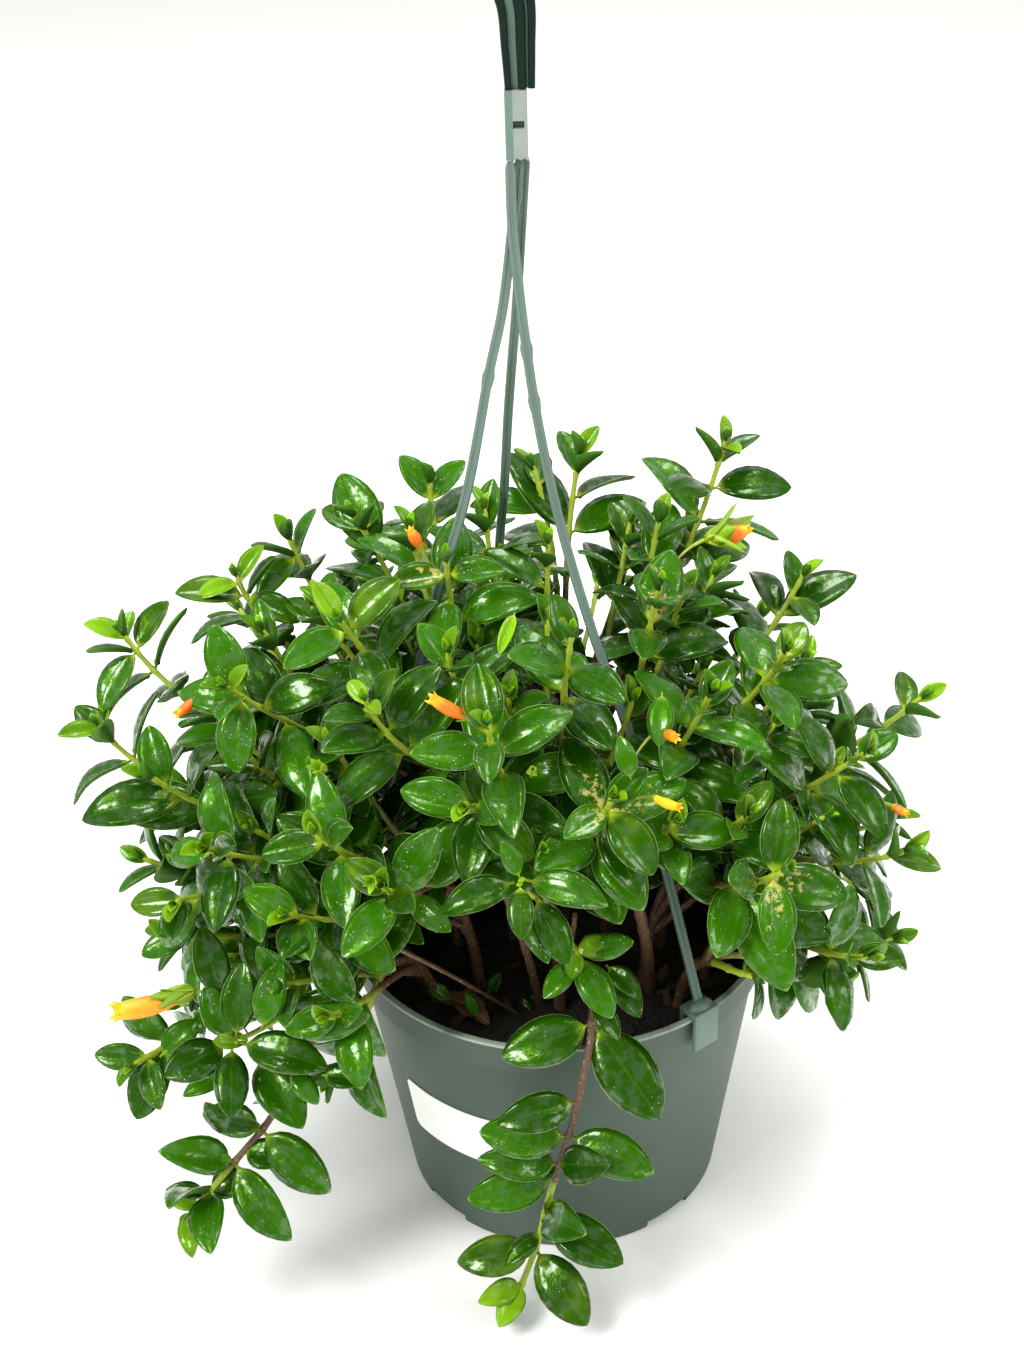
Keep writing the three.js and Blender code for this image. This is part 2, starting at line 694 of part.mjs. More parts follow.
function nodeSpot(shoot, back) {
  const share = 1 - back / shoot.stem.getLength();
  if (share < 0.06) {
    return null;
  }
  const root = shoot.stem.getPointAt(share);
  const axis = shoot.stem.getTangentAt(share);
  const face = shoot.hangs ? outwardAt(root).addScaledVector(UP, 0.9).normalize() : axis;
  return { root, axis, face, share, hangs: shoot.hangs };
}

function placeSeenLeaves(thicket, shoot) {
  const backs = shoot.nodes ?? LEAF.nodes;
  shoot.leaves = [];
  shoot.pairs.forEach((pixels, pair) => {
    const spot = nodeSpot(shoot, backs[pair]);
    for (const pixel of spot ? pixels : []) {
      const length = shoot.trailing ? Math.min(LEAF.lengths[pair + 1] ?? 31, 29) : LEAF.lengths[pair];
      const leaf = placeSeenLeaf(thicket, spot, length, pixel, pair);
      thicket.addLeaf(leaf);
      shoot.leaves.push(leaf);
    }
  });
}

// The crosswise pairs that the photograph leaves out: all of a hidden shoot's, and the older
// ones of a seen shoot.
function placeRuleLeaves(thicket, shoot, pair) {
  const filled = shoot.seen ? (shoot.pairs[pair] ?? []).length : 0;
  const spot = nodeSpot(shoot, LEAF.nodes[pair]);
  if (filled > 0 || shoot.trailing || !spot) {
    return;
  }
  const first = shoot.leaves.find((leaf) => leaf.seen);
  const sideways = shoot.hangs ? ringHint(spot.root) : view.right;
  const zero = (first ? first.along : sideways).clone();
  zero.addScaledVector(spot.axis, -zero.dot(spot.axis)).normalize();
  const turn = first ? (first.pair % 2) * (Math.PI / 2) : (shoot.hangs ? -0.33 : shoot.spin);
  for (const side of [0, Math.PI]) {
    const leaf = placeRuleLeaf(thicket, spot, zero, pair, turn + side);
    if (leaf) {
      thicket.addLeaf(leaf);
      shoot.leaves.push(leaf);
    }
  }
}

// Blooms and their stalks.

function bloomStalk(foot, heading, seat) {
  const before = foot.clone().addScaledVector(heading, -seat.distanceTo(foot) * 0.35);
  return new THREE.QuadraticBezierCurve3(seat, before, foot);
}

// A bloom grows on the nearest shoot that its stalk reaches without meeting a strand.
function makeBloom(row, shoots, strandPoints) {
  const foot = onMound(row.foot, row.reach);
  const heading = nearestOnLine(row.mouth, foot).sub(foot);
  const depth = Math.sqrt(Math.max(row.length ** 2 - heading.lengthSq(), 0));
  heading.addScaledVector(moundNormal(foot), depth).normalize();
  const seats = shoots.flatMap((shoot) => {
    return BLOOM.seats.map((share) => ({ shoot, point: seatOn(shoot, share) }));
  });
  const { shoot, point } = seats
    .filter((seat) => seat.point.distanceTo(foot) > BLOOM.stalkLeast)
    .sort((one, other) => one.point.distanceTo(foot) - other.point.distanceTo(foot))
    .find((seat) => passes(bloomStalk(foot, heading, seat.point), strandPoints));
  return { ...row, foot, heading, stalk: bloomStalk(foot, heading, point), carrier: shoot };
}

function bloomCurve(bloom) {
  const start = bloom.foot.clone().addScaledVector(bloom.heading, BLOOM.gap);
  const end = bloom.foot.clone().addScaledVector(bloom.heading, bloom.length);
  const middle = start.clone().lerp(end, 0.5).addScaledVector(UP, -bloom.length * BLOOM.sag);
  return new THREE.QuadraticBezierCurve3(start, middle, end);
}

function bloomRadius(bloom, s) {
  const pouch = Math.sin(Math.PI * Math.min(s / 0.94, 1) ** 0.8);
  return mix(BLOOM.footRadius, BLOOM.mouthRadius, s) + (bloom.belly - BLOOM.footRadius) * pouch;
}

function bloomSolid(bloom) {
  const size = (s) => bloomRadius(bloom, s);
  const hint = Math.abs(bloom.heading.z) > 0.9 ? vec([1, 0, 0]) : UP;
  return solidOf(swept(polygon(BLOOM.sides), bloomCurve(bloom), BLOOM.rings, () => hint, size));
}

// The growth of the whole plant, in the order that keeps every leaf clear of the others.

function strandCurve(route) {
  return new THREE.CatmullRomCurve3(route.map(vec), false, 'centripetal');
}

function growPlant() {
  const seen = SHOOTS.map(photoShoot);
  const shoots = seen.concat(fillShoots(seen));
  const sprays = gatherSprays(shoots);
  const thicket = new Thicket();
  const strandPoints = Object.values(STRAND_ROUTES)
    .flatMap((route) => strandCurve(route).getSpacedPoints(80));
  thicket.addStick(strandPoints, STRAND.width / 2, 'strand');
  for (const spray of sprays) {
    addMainStem(spray);
    thicket.addStick(spray.trunk.getSpacedPoints(20), STEM.trunk[0], spray.key);
    spray.shoots.forEach((shoot, order) => addBranch(spray, shoot, order, strandPoints));
  }
  const trailers = TRAILERS.map(trailerShoot);
  const everyShoot = shoots.concat(trailers);
  for (const shoot of everyShoot) {
    const count = Math.ceil(shoot.stem.getLength() / 4);
    thicket.addStick(shoot.stem.getSpacedPoints(count), STEM.branch[0], shoot);
  }
  const blooms = BLOOMS.map((row) => makeBloom(row, seen, strandPoints));
  for (const bloom of blooms) {
    thicket.addStick(bloomCurve(bloom).getSpacedPoints(6), bloom.belly, bloom);
    thicket.addStick(bloom.stalk.getSpacedPoints(5), BLOOM.pedicel, bloom);
  }
  everyShoot.forEach((shoot) => placeSeenLeaves(thicket, shoot));
  for (let pair = 1; pair < LEAF.nodes.length; pair += 1) {
    everyShoot.forEach((shoot) => placeRuleLeaves(thicket, shoot, pair));
  }
  return { sprays, trailers, blooms };
}

// Solids of the plant.

// A six-sided double pyramid stretched into a fleshy blade: its rim is the leaf's outline, and
// its two peaks stand over and under the midrib. extra swells it all round.
function bladeSolid(leaf, extra = 0) {
  const lens = new THREE.SphereGeometry(1, 6, 2);
  const room = extra / (leaf.length * LEAF.halfWidth);
  return solidOf(shaped(lens, (x, y, z) => {
    if (Math.abs(y) > 0.5) {
      return leafPoint(leaf, LEAF.peak, 0, Math.sign(y) * (LEAF.thick / 2 + extra));
    }
    const beside = -Math.sign(Math.round(z * 2));
    const u = x > 0.75 ? 1 : x > 0 ? LEAF.waist : x > -0.75 ? LEAF.shoulder : 0;
    if (u === 0 && leaf.seat) {
      return leaf.seat;
    }
    return leafPoint(leaf, u, beside * (halfWidthAt(u) + room), 0);
  }));
}

function stemSteps(shoot) {
  return shoot.trailing ? STEM.trailerSteps : STEM.steps;
}

function stemSolid(shoot) {
  return tube(shoot.stem, stemSteps(shoot), 3, STEM.branch);
}

// The point on a stem's faceted middle line where something grows out of it.
function seatOn(shoot, share) {
  const steps = stemSteps(shoot);
  const step = Math.min(Math.floor(share * steps), steps - 1);
  const low = shoot.stem.getPointAt(step / steps);
  const high = shoot.stem.getPointAt((step + 1) / steps);
  return low.lerp(high, share * steps - step);
}

// The stalk of a bloom, and the calyx lobes round the foot of a long one.
function bloomParts(bloom) {
  const parts = [tube(bloom.stalk, 4, 4, [BLOOM.pedicel, BLOOM.pedicel])];
  const zero = new THREE.Vector3().crossVectors(bloom.heading, UP).normalize();
  const quarter = new THREE.Vector3().crossVectors(bloom.heading, zero);
  const root = bloom.foot.clone().addScaledVector(bloom.heading, -BLOOM.lobeBack);
  for (let i = 0; bloom.length > BLOOM.lobesFrom && i < BLOOM.lobes; i += 1) {
    const angle = (2 * Math.PI * (i + 0.5)) / BLOOM.lobes;
    const out = zero.clone().multiplyScalar(Math.cos(angle)).addScaledVector(quarter, Math.sin(angle));
    const along = bloom.heading.clone().multiplyScalar(0.52).addScaledVector(out, 0.85).normalize();
    parts.push(bladeSolid(makeLeaf(root, along, bloom.heading, BLOOM.lobeLength, 0)));
  }
  return parts;
}

function crosses(piece, other) {
  const box = piece.boundingBox();
  const room = other.boundingBox();
  const apart = [0, 1, 2].some((axis) => {
    return box.min[axis] > room.max[axis] || box.max[axis] < room.min[axis];
  });
  return !apart && !piece.intersect(other).isEmpty();
}

// The nodes of the plant while they grow, beside the solids that they must not touch.
class Nodes {
  constructor(plant, fixed) {
    this.blooms = plant.blooms.map(bloomSolid);
    this.fixed = fixed.concat(this.blooms);
    this.groups = plant.sprays.map((spray, index) => ({
      name: `spray_${String(index + 1).padStart(2, '0')}`,
      shoots: spray.shoots,
      solid: tube(spray.trunk, 4, 4, STEM.trunk),
    }));
    plant.trailers.forEach((shoot, index) => {
      this.groups.push({ name: TRAILERS[index].name, shoots: [shoot], solid: null });
    });
  }

  // Joins a piece to a group, unless its outline would touch another node.
  join(group, piece, outline = piece) {
    const others = this.groups.filter((one) => one !== group && one.solid).map((one) => one.solid);
    const clear = !this.fixed.concat(others).some((other) => crosses(outline, other));
    if (clear) {
      group.solid = group.solid ? group.solid.add(piece) : piece;
    }
    return clear;
  }
}

function coarseLeaves(shoot) {
  const pairs = shoot.seen ? COARSE_PAIRS.seen : COARSE_PAIRS.hidden;
  const leaves = shoot.leaves.filter((leaf) => leaf.seen || pairs.includes(leaf.pair));
  return leaves.map((leaf) => ({ ...leaf, seat: seatOn(shoot, leaf.share) }));
}

function growNodes(plant, fixed) {
  const nodes = new Nodes(plant, fixed);
  for (const group of nodes.groups) {
    group.grown = group.shoots.filter((shoot) => nodes.join(group, stemSolid(shoot)));
  }
  for (const bloom of plant.blooms) {
    const group = nodes.groups.find((one) => one.shoots.includes(bloom.carrier));
    bloomParts(bloom).forEach((part) => nodes.join(group, part));
  }
  for (const group of nodes.groups) {
    for (const leaf of group.grown.flatMap(coarseLeaves)) {
      nodes.join(group, bladeSolid(leaf), bladeSolid(leaf, LEAF.crossGap));
    }
  }
  return nodes;
}

// The pot, its label, the soil and the hanger.

function lathe(profile, sides) {
  const points = profile.map(([radius, height]) => new THREE.Vector2(radius, height));
  return new THREE.LatheGeometry(points, sides).rotateX(Math.PI / 2);
}

function potSolid() {
  const bandLow = POT.height - POT.bandHeight;
  const lipLow = POT.height - POT.lipHeight;
  const body = solidOf(lathe([
    [0, 0],
    [POT.footRadius, 0],
    [POT.wallTopRadius, bandLow],
    [POT.bandFootRadius, bandLow + 0.6],
    [POT.topRadius - 0.9, lipLow],
    [POT.topRadius, lipLow + 0.5],
    [POT.topRadius, POT.height],
    [POT.topRadius - POT.wall, POT.height],
    [POT.bandFootRadius - POT.wall, bandLow + 0.6],
    [POT.wallTopRadius - POT.wall, bandLow - 1.2],
    [POT.footRadius - POT.wall, POT.floor],
    [0, POT.floor],
  ], POT.sides));
  let pot = body;
  for (let i = 0; i < POT.notches; i += 1) {
    const notch = new THREE.BoxGeometry(POT.notchSize[1], POT.notchSize[0], POT.notchSize[2] * 2)
      .translate(POT.footRadius + 1, 0, 0)
      .rotateZ(radians(POT.notchTurn + (360 * i) / POT.notches));
    pot = pot.subtract(solidOf(notch));
  }
  return pot;
}

function wallRadius(height) {
  const bandLow = POT.height - POT.bandHeight;
  return mix(POT.footRadius, POT.wallTopRadius, height / bandLow);
}

function labelGeometry() {
  const plate = new THREE.BoxGeometry(LABEL.width, LABEL.height, LABEL.thick, LABEL.columns, 1, 1);
  const middle = wallRadius(LABEL.low + LABEL.height / 2);
  return shaped(plate, (x, y, z) => {
    const height = LABEL.low + LABEL.height / 2 + y;
    const radius = wallRadius(height) + LABEL.gap + LABEL.thick / 2 + z;
    const bearing = radians(LABEL.turn) + x / middle;
    return vec([radius * Math.cos(bearing), radius * Math.sin(bearing), height]);
  });
}

function soilRelief(x, y) {
  return SOIL.bump * (Math.sin(x * 0.31 + 1) * Math.cos(y * 0.27) + 0.5 * Math.sin(x * 0.13 - y * 0.21));
}

function soilSolid(feet) {
  const low = POT.floor + SOIL.gap;
  const topRadius = wallRadius(SOIL.top) - POT.wall - SOIL.gap - 0.3;
  const profile = [[0, low], [POT.footRadius - POT.wall - SOIL.gap - 0.3, low], [topRadius, SOIL.top]];
  SOIL.rings.forEach((radius) => profile.push([radius, SOIL.top]));
  profile.push([0, SOIL.top]);
  const heap = shaped(lathe(profile, SOIL.sides), (x, y, z) => {
    const rim = Math.hypot(x, y) > topRadius - 1;
    return vec([x, y, z > SOIL.top - 1 && !rim ? z + soilRelief(x, y) : z]);
  });
  let soil = solidOf(heap);
  for (const { foot, radius } of feet) {
    const hole = new THREE.CylinderGeometry(radius, radius, 40, SOIL.holeSides)
      .rotateX(Math.PI / 2)
      .translate(foot.x, foot.y, foot.z - SOIL.gap + 20);
    soil = soil.subtract(solidOf(hole));
  }
  return barkSpots(feet).reduce((all, [spot, random]) => all.add(barkChip(spot, random)), soil);
}

// Bark chips lie in the soil clear of the stems.
function barkSpots(feet) {
  const random = randomSource(BARK.seed);
  const spots = [];
  while (spots.length < BARK.count) {
    const reach = BARK.spread * Math.sqrt(random());
    const bearing = random() * 2 * Math.PI;
    const [x, y] = [reach * Math.cos(bearing), reach * Math.sin(bearing)];
    if (feet.every(({ foot }) => Math.hypot(foot.x - x, foot.y - y) > BARK.room)) {
      spots.push([vec([x, y, SOIL.top + soilRelief(x, y) + 0.2]), random]);
    }
  }
  return spots;
}

function barkChip(spot, random) {
  const chip = new THREE.BoxGeometry(...BARK.size.map((size) => size * (0.7 + 0.5 * random())))
    .rotateX(random() - 0.5)
    .rotateZ(random() * 3)
    .translate(spot.x, spot.y, spot.z);
  return solidOf(chip);
}

function clipSolid(bearing) {
  const radial = (from, to, low, high) => new THREE.BoxGeometry(to - from, CLIP.width, high - low)
    .translate((from + to) / 2, 0, (low + high) / 2);
  const outside = POT.topRadius + CLIP.gap;
  const inside = POT.topRadius - POT.wall - CLIP.legInset;
  const top = POT.height + CLIP.gap;
  const parts = [
    radial(outside, outside + CLIP.thick, CLIP.low, top + CLIP.cap),
    radial(inside - CLIP.thick, outside + CLIP.thick, top, top + CLIP.cap),
    radial(inside - CLIP.thick, inside, CLIP.legLow, top + CLIP.cap),
  ];
  return parts.map((part) => solidOf(part.rotateZ(bearing))).reduce((all, part) => all.add(part));
}

function rectangle(width, height) {
  const [x, y] = [width / 2, height / 2];
  return new THREE.Shape([[-x, -y], [x, -y], [x, y], [-x, y]].map(([u, v]) => new THREE.Vector2(u, v)));
}

// A strand lies flat against its clip and turns until its broad side faces the front.
function strandSolid(route) {
  const foot = vec(route[0]);
  const outward = outwardAt(foot);
  const facing = vec([0, Math.sign(foot.y), 0]);
  const hint = (s) => outward.clone().lerp(facing, Math.min(s / STRAND.flatFrom, 1));
  const section = rectangle(STRAND.width, STRAND.thick);
  const rod = solidOf(swept(section, strandCurve(route), STRAND.steps, hint, () => 1));
  return rod.add(clipSolid(bearingOf(foot)));
}

function shankGeometry() {
  const height = HEAD.shankTop - HEAD.shankLow;
  const block = new THREE.BoxGeometry(HEAD.shankWidth, HEAD.shankDepth, height, 1, 1, 2);
  return shaped(block, (x, y, z) => {
    const depth = z > 1 ? HEAD.shankTaper : 1;
    return vec([HEAD.shankX + x, y * depth, HEAD.shankLow + height / 2 + z]);
  });
}

function hookCurve() {
  const route = HEAD.hookRoute.map(([x, z]) => vec([x, 0, z]));
  for (let i = 0; i < HEAD.hookPoints; i += 1) {
    const turn = radians(mix(HEAD.hookTurn[0], HEAD.hookTurn[1], i / (HEAD.hookPoints - 1)));
    const [x, z] = HEAD.hookEye;
    route.push(vec([x + HEAD.hookRadius * Math.cos(turn), 0, z + HEAD.hookRadius * Math.sin(turn)]));
  }
  return new THREE.CatmullRomCurve3(route, false, 'centripetal');
}

function hookWidth(s) {
  const [foot, broad, crown, tip] = HEAD.hookWidths;
  if (s < 0.3) {
    return mix(foot, broad, s / 0.3);
  }
  return s < 0.6 ? mix(broad, crown, (s - 0.3) / 0.3) : mix(crown, tip, (s - 0.6) / 0.4);
}

function hookGeometry() {
  const curve = hookCurve();
  const options = { depth: 1, steps: HEAD.hookSteps, bevelEnabled: false };
  const prism = new THREE.ExtrudeGeometry(rectangle(1, 1), options);
  return shaped(prism, (across, deep, s) => {
    const side = new THREE.Vector3().crossVectors(vec([0, 1, 0]), curve.getTangentAt(s)).normalize();
    return curve.getPointAt(s)
      .addScaledVector(side, across * hookWidth(s))
      .add(vec([0, deep * HEAD.hookDepth, 0]));
  });
}

function deadLeafSolid() {
  const root = vec([-44, -34, SOIL.top + 3]);
  return bladeSolid(makeLeaf(root, vec([0.83, -0.55, 0]).normalize(), UP, 22, 0));
}

// Assembly.

function meshOf(name, geometry, colour, roughness) {
  const finish = { color: colour, roughness, metalness: 0, flatShading: true };
  const mesh = new THREE.Mesh(geometry, new THREE.MeshStandardMaterial(finish));
  mesh.name = name;
  return mesh;
}

function stemHoles(plant) {
  const holes = plant.sprays.map(({ foot }) => ({ foot, radius: STEM.trunk[0] + SOIL.holeGap }));
  for (const { stem } of plant.trailers) {
    holes.push({ foot: stem.getPointAt(0), radius: STEM.branch[0] + SOIL.holeGap + 0.8 });
  }
  return holes;
}

function buildPlant() {
  const group = new THREE.Group();
  const plant = growPlant();
  const pot = potSolid();
  const soil = soilSolid(stemHoles(plant));
  const deadLeaf = deadLeafSolid();
  const strands = Object.entries(STRAND_ROUTES).map(([side, route]) => [side, strandSolid(route)]);
  const add = (name, solid, colour, roughness) => {
    group.add(meshOf(name, geometryOf(solid), colour, roughness));
  };
  add('pot', pot, COLOURS.pot, 0.45);
  add('soil', soil, COLOURS.soil, 0.95);
  add('dead_leaf', deadLeaf, COLOURS.deadLeaf, 0.8);
  strands.forEach(([side, solid]) => add(`hanger_strand_${side}`, solid, COLOURS.strand, 0.4));
  group.add(meshOf('label', labelGeometry(), COLOURS.label, 0.6));
  group.add(meshOf('hanger_shank', shankGeometry(), COLOURS.shank, 0.35));
  group.add(meshOf('hanger_hook', hookGeometry(), COLOURS.hook, 0.4));
  const nodes = growNodes(plant, [pot, soil, deadLeaf, ...strands.map(([, solid]) => solid)]);
  nodes.groups.forEach(({ name, solid }) => add(name, solid, COLOURS.foliage, 0.3));
  nodes.blooms.forEach((solid, index) => add(`bloom_${index + 1}`, solid, COLOURS.bloom, 0.45));
  return group;
}

export default buildPlant();
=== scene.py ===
import json
import math

import bmesh
import bpy
import numpy as np
from mathutils import Matrix, Vector

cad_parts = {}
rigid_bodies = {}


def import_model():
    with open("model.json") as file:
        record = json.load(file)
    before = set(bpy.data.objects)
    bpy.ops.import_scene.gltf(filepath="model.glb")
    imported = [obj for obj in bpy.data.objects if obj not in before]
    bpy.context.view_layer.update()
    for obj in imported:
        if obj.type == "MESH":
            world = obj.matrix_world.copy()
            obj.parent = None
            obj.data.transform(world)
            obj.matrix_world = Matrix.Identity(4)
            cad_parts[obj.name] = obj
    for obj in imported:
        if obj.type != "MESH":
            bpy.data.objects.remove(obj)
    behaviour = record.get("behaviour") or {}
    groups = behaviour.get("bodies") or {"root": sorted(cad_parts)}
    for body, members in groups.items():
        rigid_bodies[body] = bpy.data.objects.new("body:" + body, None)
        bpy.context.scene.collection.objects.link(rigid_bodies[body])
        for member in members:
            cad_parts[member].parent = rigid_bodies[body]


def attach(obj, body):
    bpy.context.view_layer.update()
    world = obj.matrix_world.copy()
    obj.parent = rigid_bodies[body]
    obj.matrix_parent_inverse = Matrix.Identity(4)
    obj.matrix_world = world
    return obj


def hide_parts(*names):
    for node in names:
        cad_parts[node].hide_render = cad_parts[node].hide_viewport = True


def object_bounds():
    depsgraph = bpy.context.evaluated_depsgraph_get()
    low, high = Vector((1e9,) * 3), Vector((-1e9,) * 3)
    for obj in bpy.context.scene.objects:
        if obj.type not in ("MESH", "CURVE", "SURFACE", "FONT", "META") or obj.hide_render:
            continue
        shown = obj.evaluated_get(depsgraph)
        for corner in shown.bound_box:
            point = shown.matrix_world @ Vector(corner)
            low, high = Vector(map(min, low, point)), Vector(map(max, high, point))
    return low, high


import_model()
CAD_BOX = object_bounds()

bl_info = {
    "name": "Potted goldfish plant",
    "version": (1, 0, 0),
    "blender": (4, 5, 0),
    "location": "3D View > Sidebar > Goldfish plant",
    "description": "Grows a goldfish plant in its hanging-basket pot",
    "category": "Object",
}

# The growth rules work in millimetres, and every mesh is made in metres.
MM = 0.001
UP = np.array([0.0, 0.0, 1.0])
SEEDS = {"leaves": 31, "calyces": 5, "crumbs": 8}
# A leafy piece stays this far inside the box of the frame, in metres.
BOX_MARGIN = 0.00005

# The camera that took the photograph: millimetres, degrees and pixels.
CAMERA = {
    "place": (0, -617.6, 585.6),
    "down": 31.04,
    "turn": -1.34,
    "roll": -1.98,
    "focal": 2050,
    "width": 1024,
    "height": 1365,
    "sensor": 36,
}

POT = {
    "height": 113.3,
    "foot_radius": 60.5,
    "wall_top_radius": 75,
    "band_foot_radius": 77.2,
    "top_radius": 79,
    "band_height": 13.8,
    "lip_height": 1.6,
    "wall": 2.4,
    "floor": 3,
    "notches": 4,
    "notch_turn": -139,
    "notch_size": (20, 9, 3),
}
LABEL = {"width": 54, "height": 25, "thick": 0.3, "low": 44, "turn": -122, "gap": 0.12, "corner": 3}
SOIL = {"top": 98, "gap": 0.4, "bump": 1.6, "bury": 12}
STRAND = {"width": 3.2, "thick": 2, "flat_from": 0.8}
CLIP = {
    "width": 11,
    "thick": 2,
    "low": 100,
    "leg_low": 105,
    "gap": 0.4,
    "leg_inset": 1.9,
    "cap": 2.4,
    "clear_turn": 0.16,
}
STRAND_ROUTES = {
    "front": [(48.9, -60, 115), (39, -48, 158), (26, -31, 209), (14, -17, 242), (3.5, -6, 279),
              (-3.5, -3.6, 318), (-6.9, -3.1, 348), (-8.3, -2.9, 364), (-9.4, -2.8, 380),
              (-9.5, -2.7, 400)],
    "left": [(-76.2, -13.4, 115), (-54, -10, 197), (-38, -7, 255), (-27, -5, 291), (-18, -3, 333),
             (-13.6, -1, 351), (-11.3, -0.2, 365), (-9.3, 0, 380), (-6.7, 0, 400)],
    "back": [(-20, 74.8, 115), (-20, 62, 180), (-18.6, 47, 241), (-15.8, 36, 270.6),
             (-13.2, 24, 305.5), (-10.9, 14, 330.8), (-9, 8, 350), (-7.1, 3.6, 373.4),
             (-4.9, 2.7, 400)],
}
HEAD = {
    "shank_x": -7.3,
    "shank_low": 400.3,
    "shank_top": 421.5,
    "shank_width": 6.8,
    "shank_depth": 8,
    "hook_route": [(-5.9, 421.8), (-6.1, 434), (-6.6, 447)],
    "hook_eye": (3, 462),
    "hook_radius": 14,
    "hook_turn": (190, -20),
    "hook_points": 9,
    "hook_widths": (9.1, 11.6, 9, 6),
    "hook_depth": 5,
}

# The rounded heap that the shoot tips reach.
MOUND = {
    "centre": (-15, 5, 150),
    "radii": (150, 135, 125),
    "lift": 0.55,
    "hang_below": 116,
}
# Leaf pairs stand crosswise along a shoot. The first values belong to the pair at the tip.
LEAF = {
    "nodes": (3, 9, 19, 32, 47, 63, 80),
    "lengths": (12, 19, 27, 31, 32, 32, 31),
    "angles": (30, 48, 64, 74, 80, 84, 86),
    "half_width": 0.235,
    "shoulder": 0.38,
    "waist": 0.72,
    "waist_width": 0.8,
    "arch": 0.05,
    "droop": 0.1,
    "root_gap": 0.1,
    "clear": 1.3,
}
STEM = {
    "trunk": (2.4, 1.8),
    "branch": (1.6, 1.15),
    "steps": 4,
    "trailer_steps": 14,
    "clear": 3.5,
    "bends": (0, 10, -10, 18, -18, 26, -26),
}

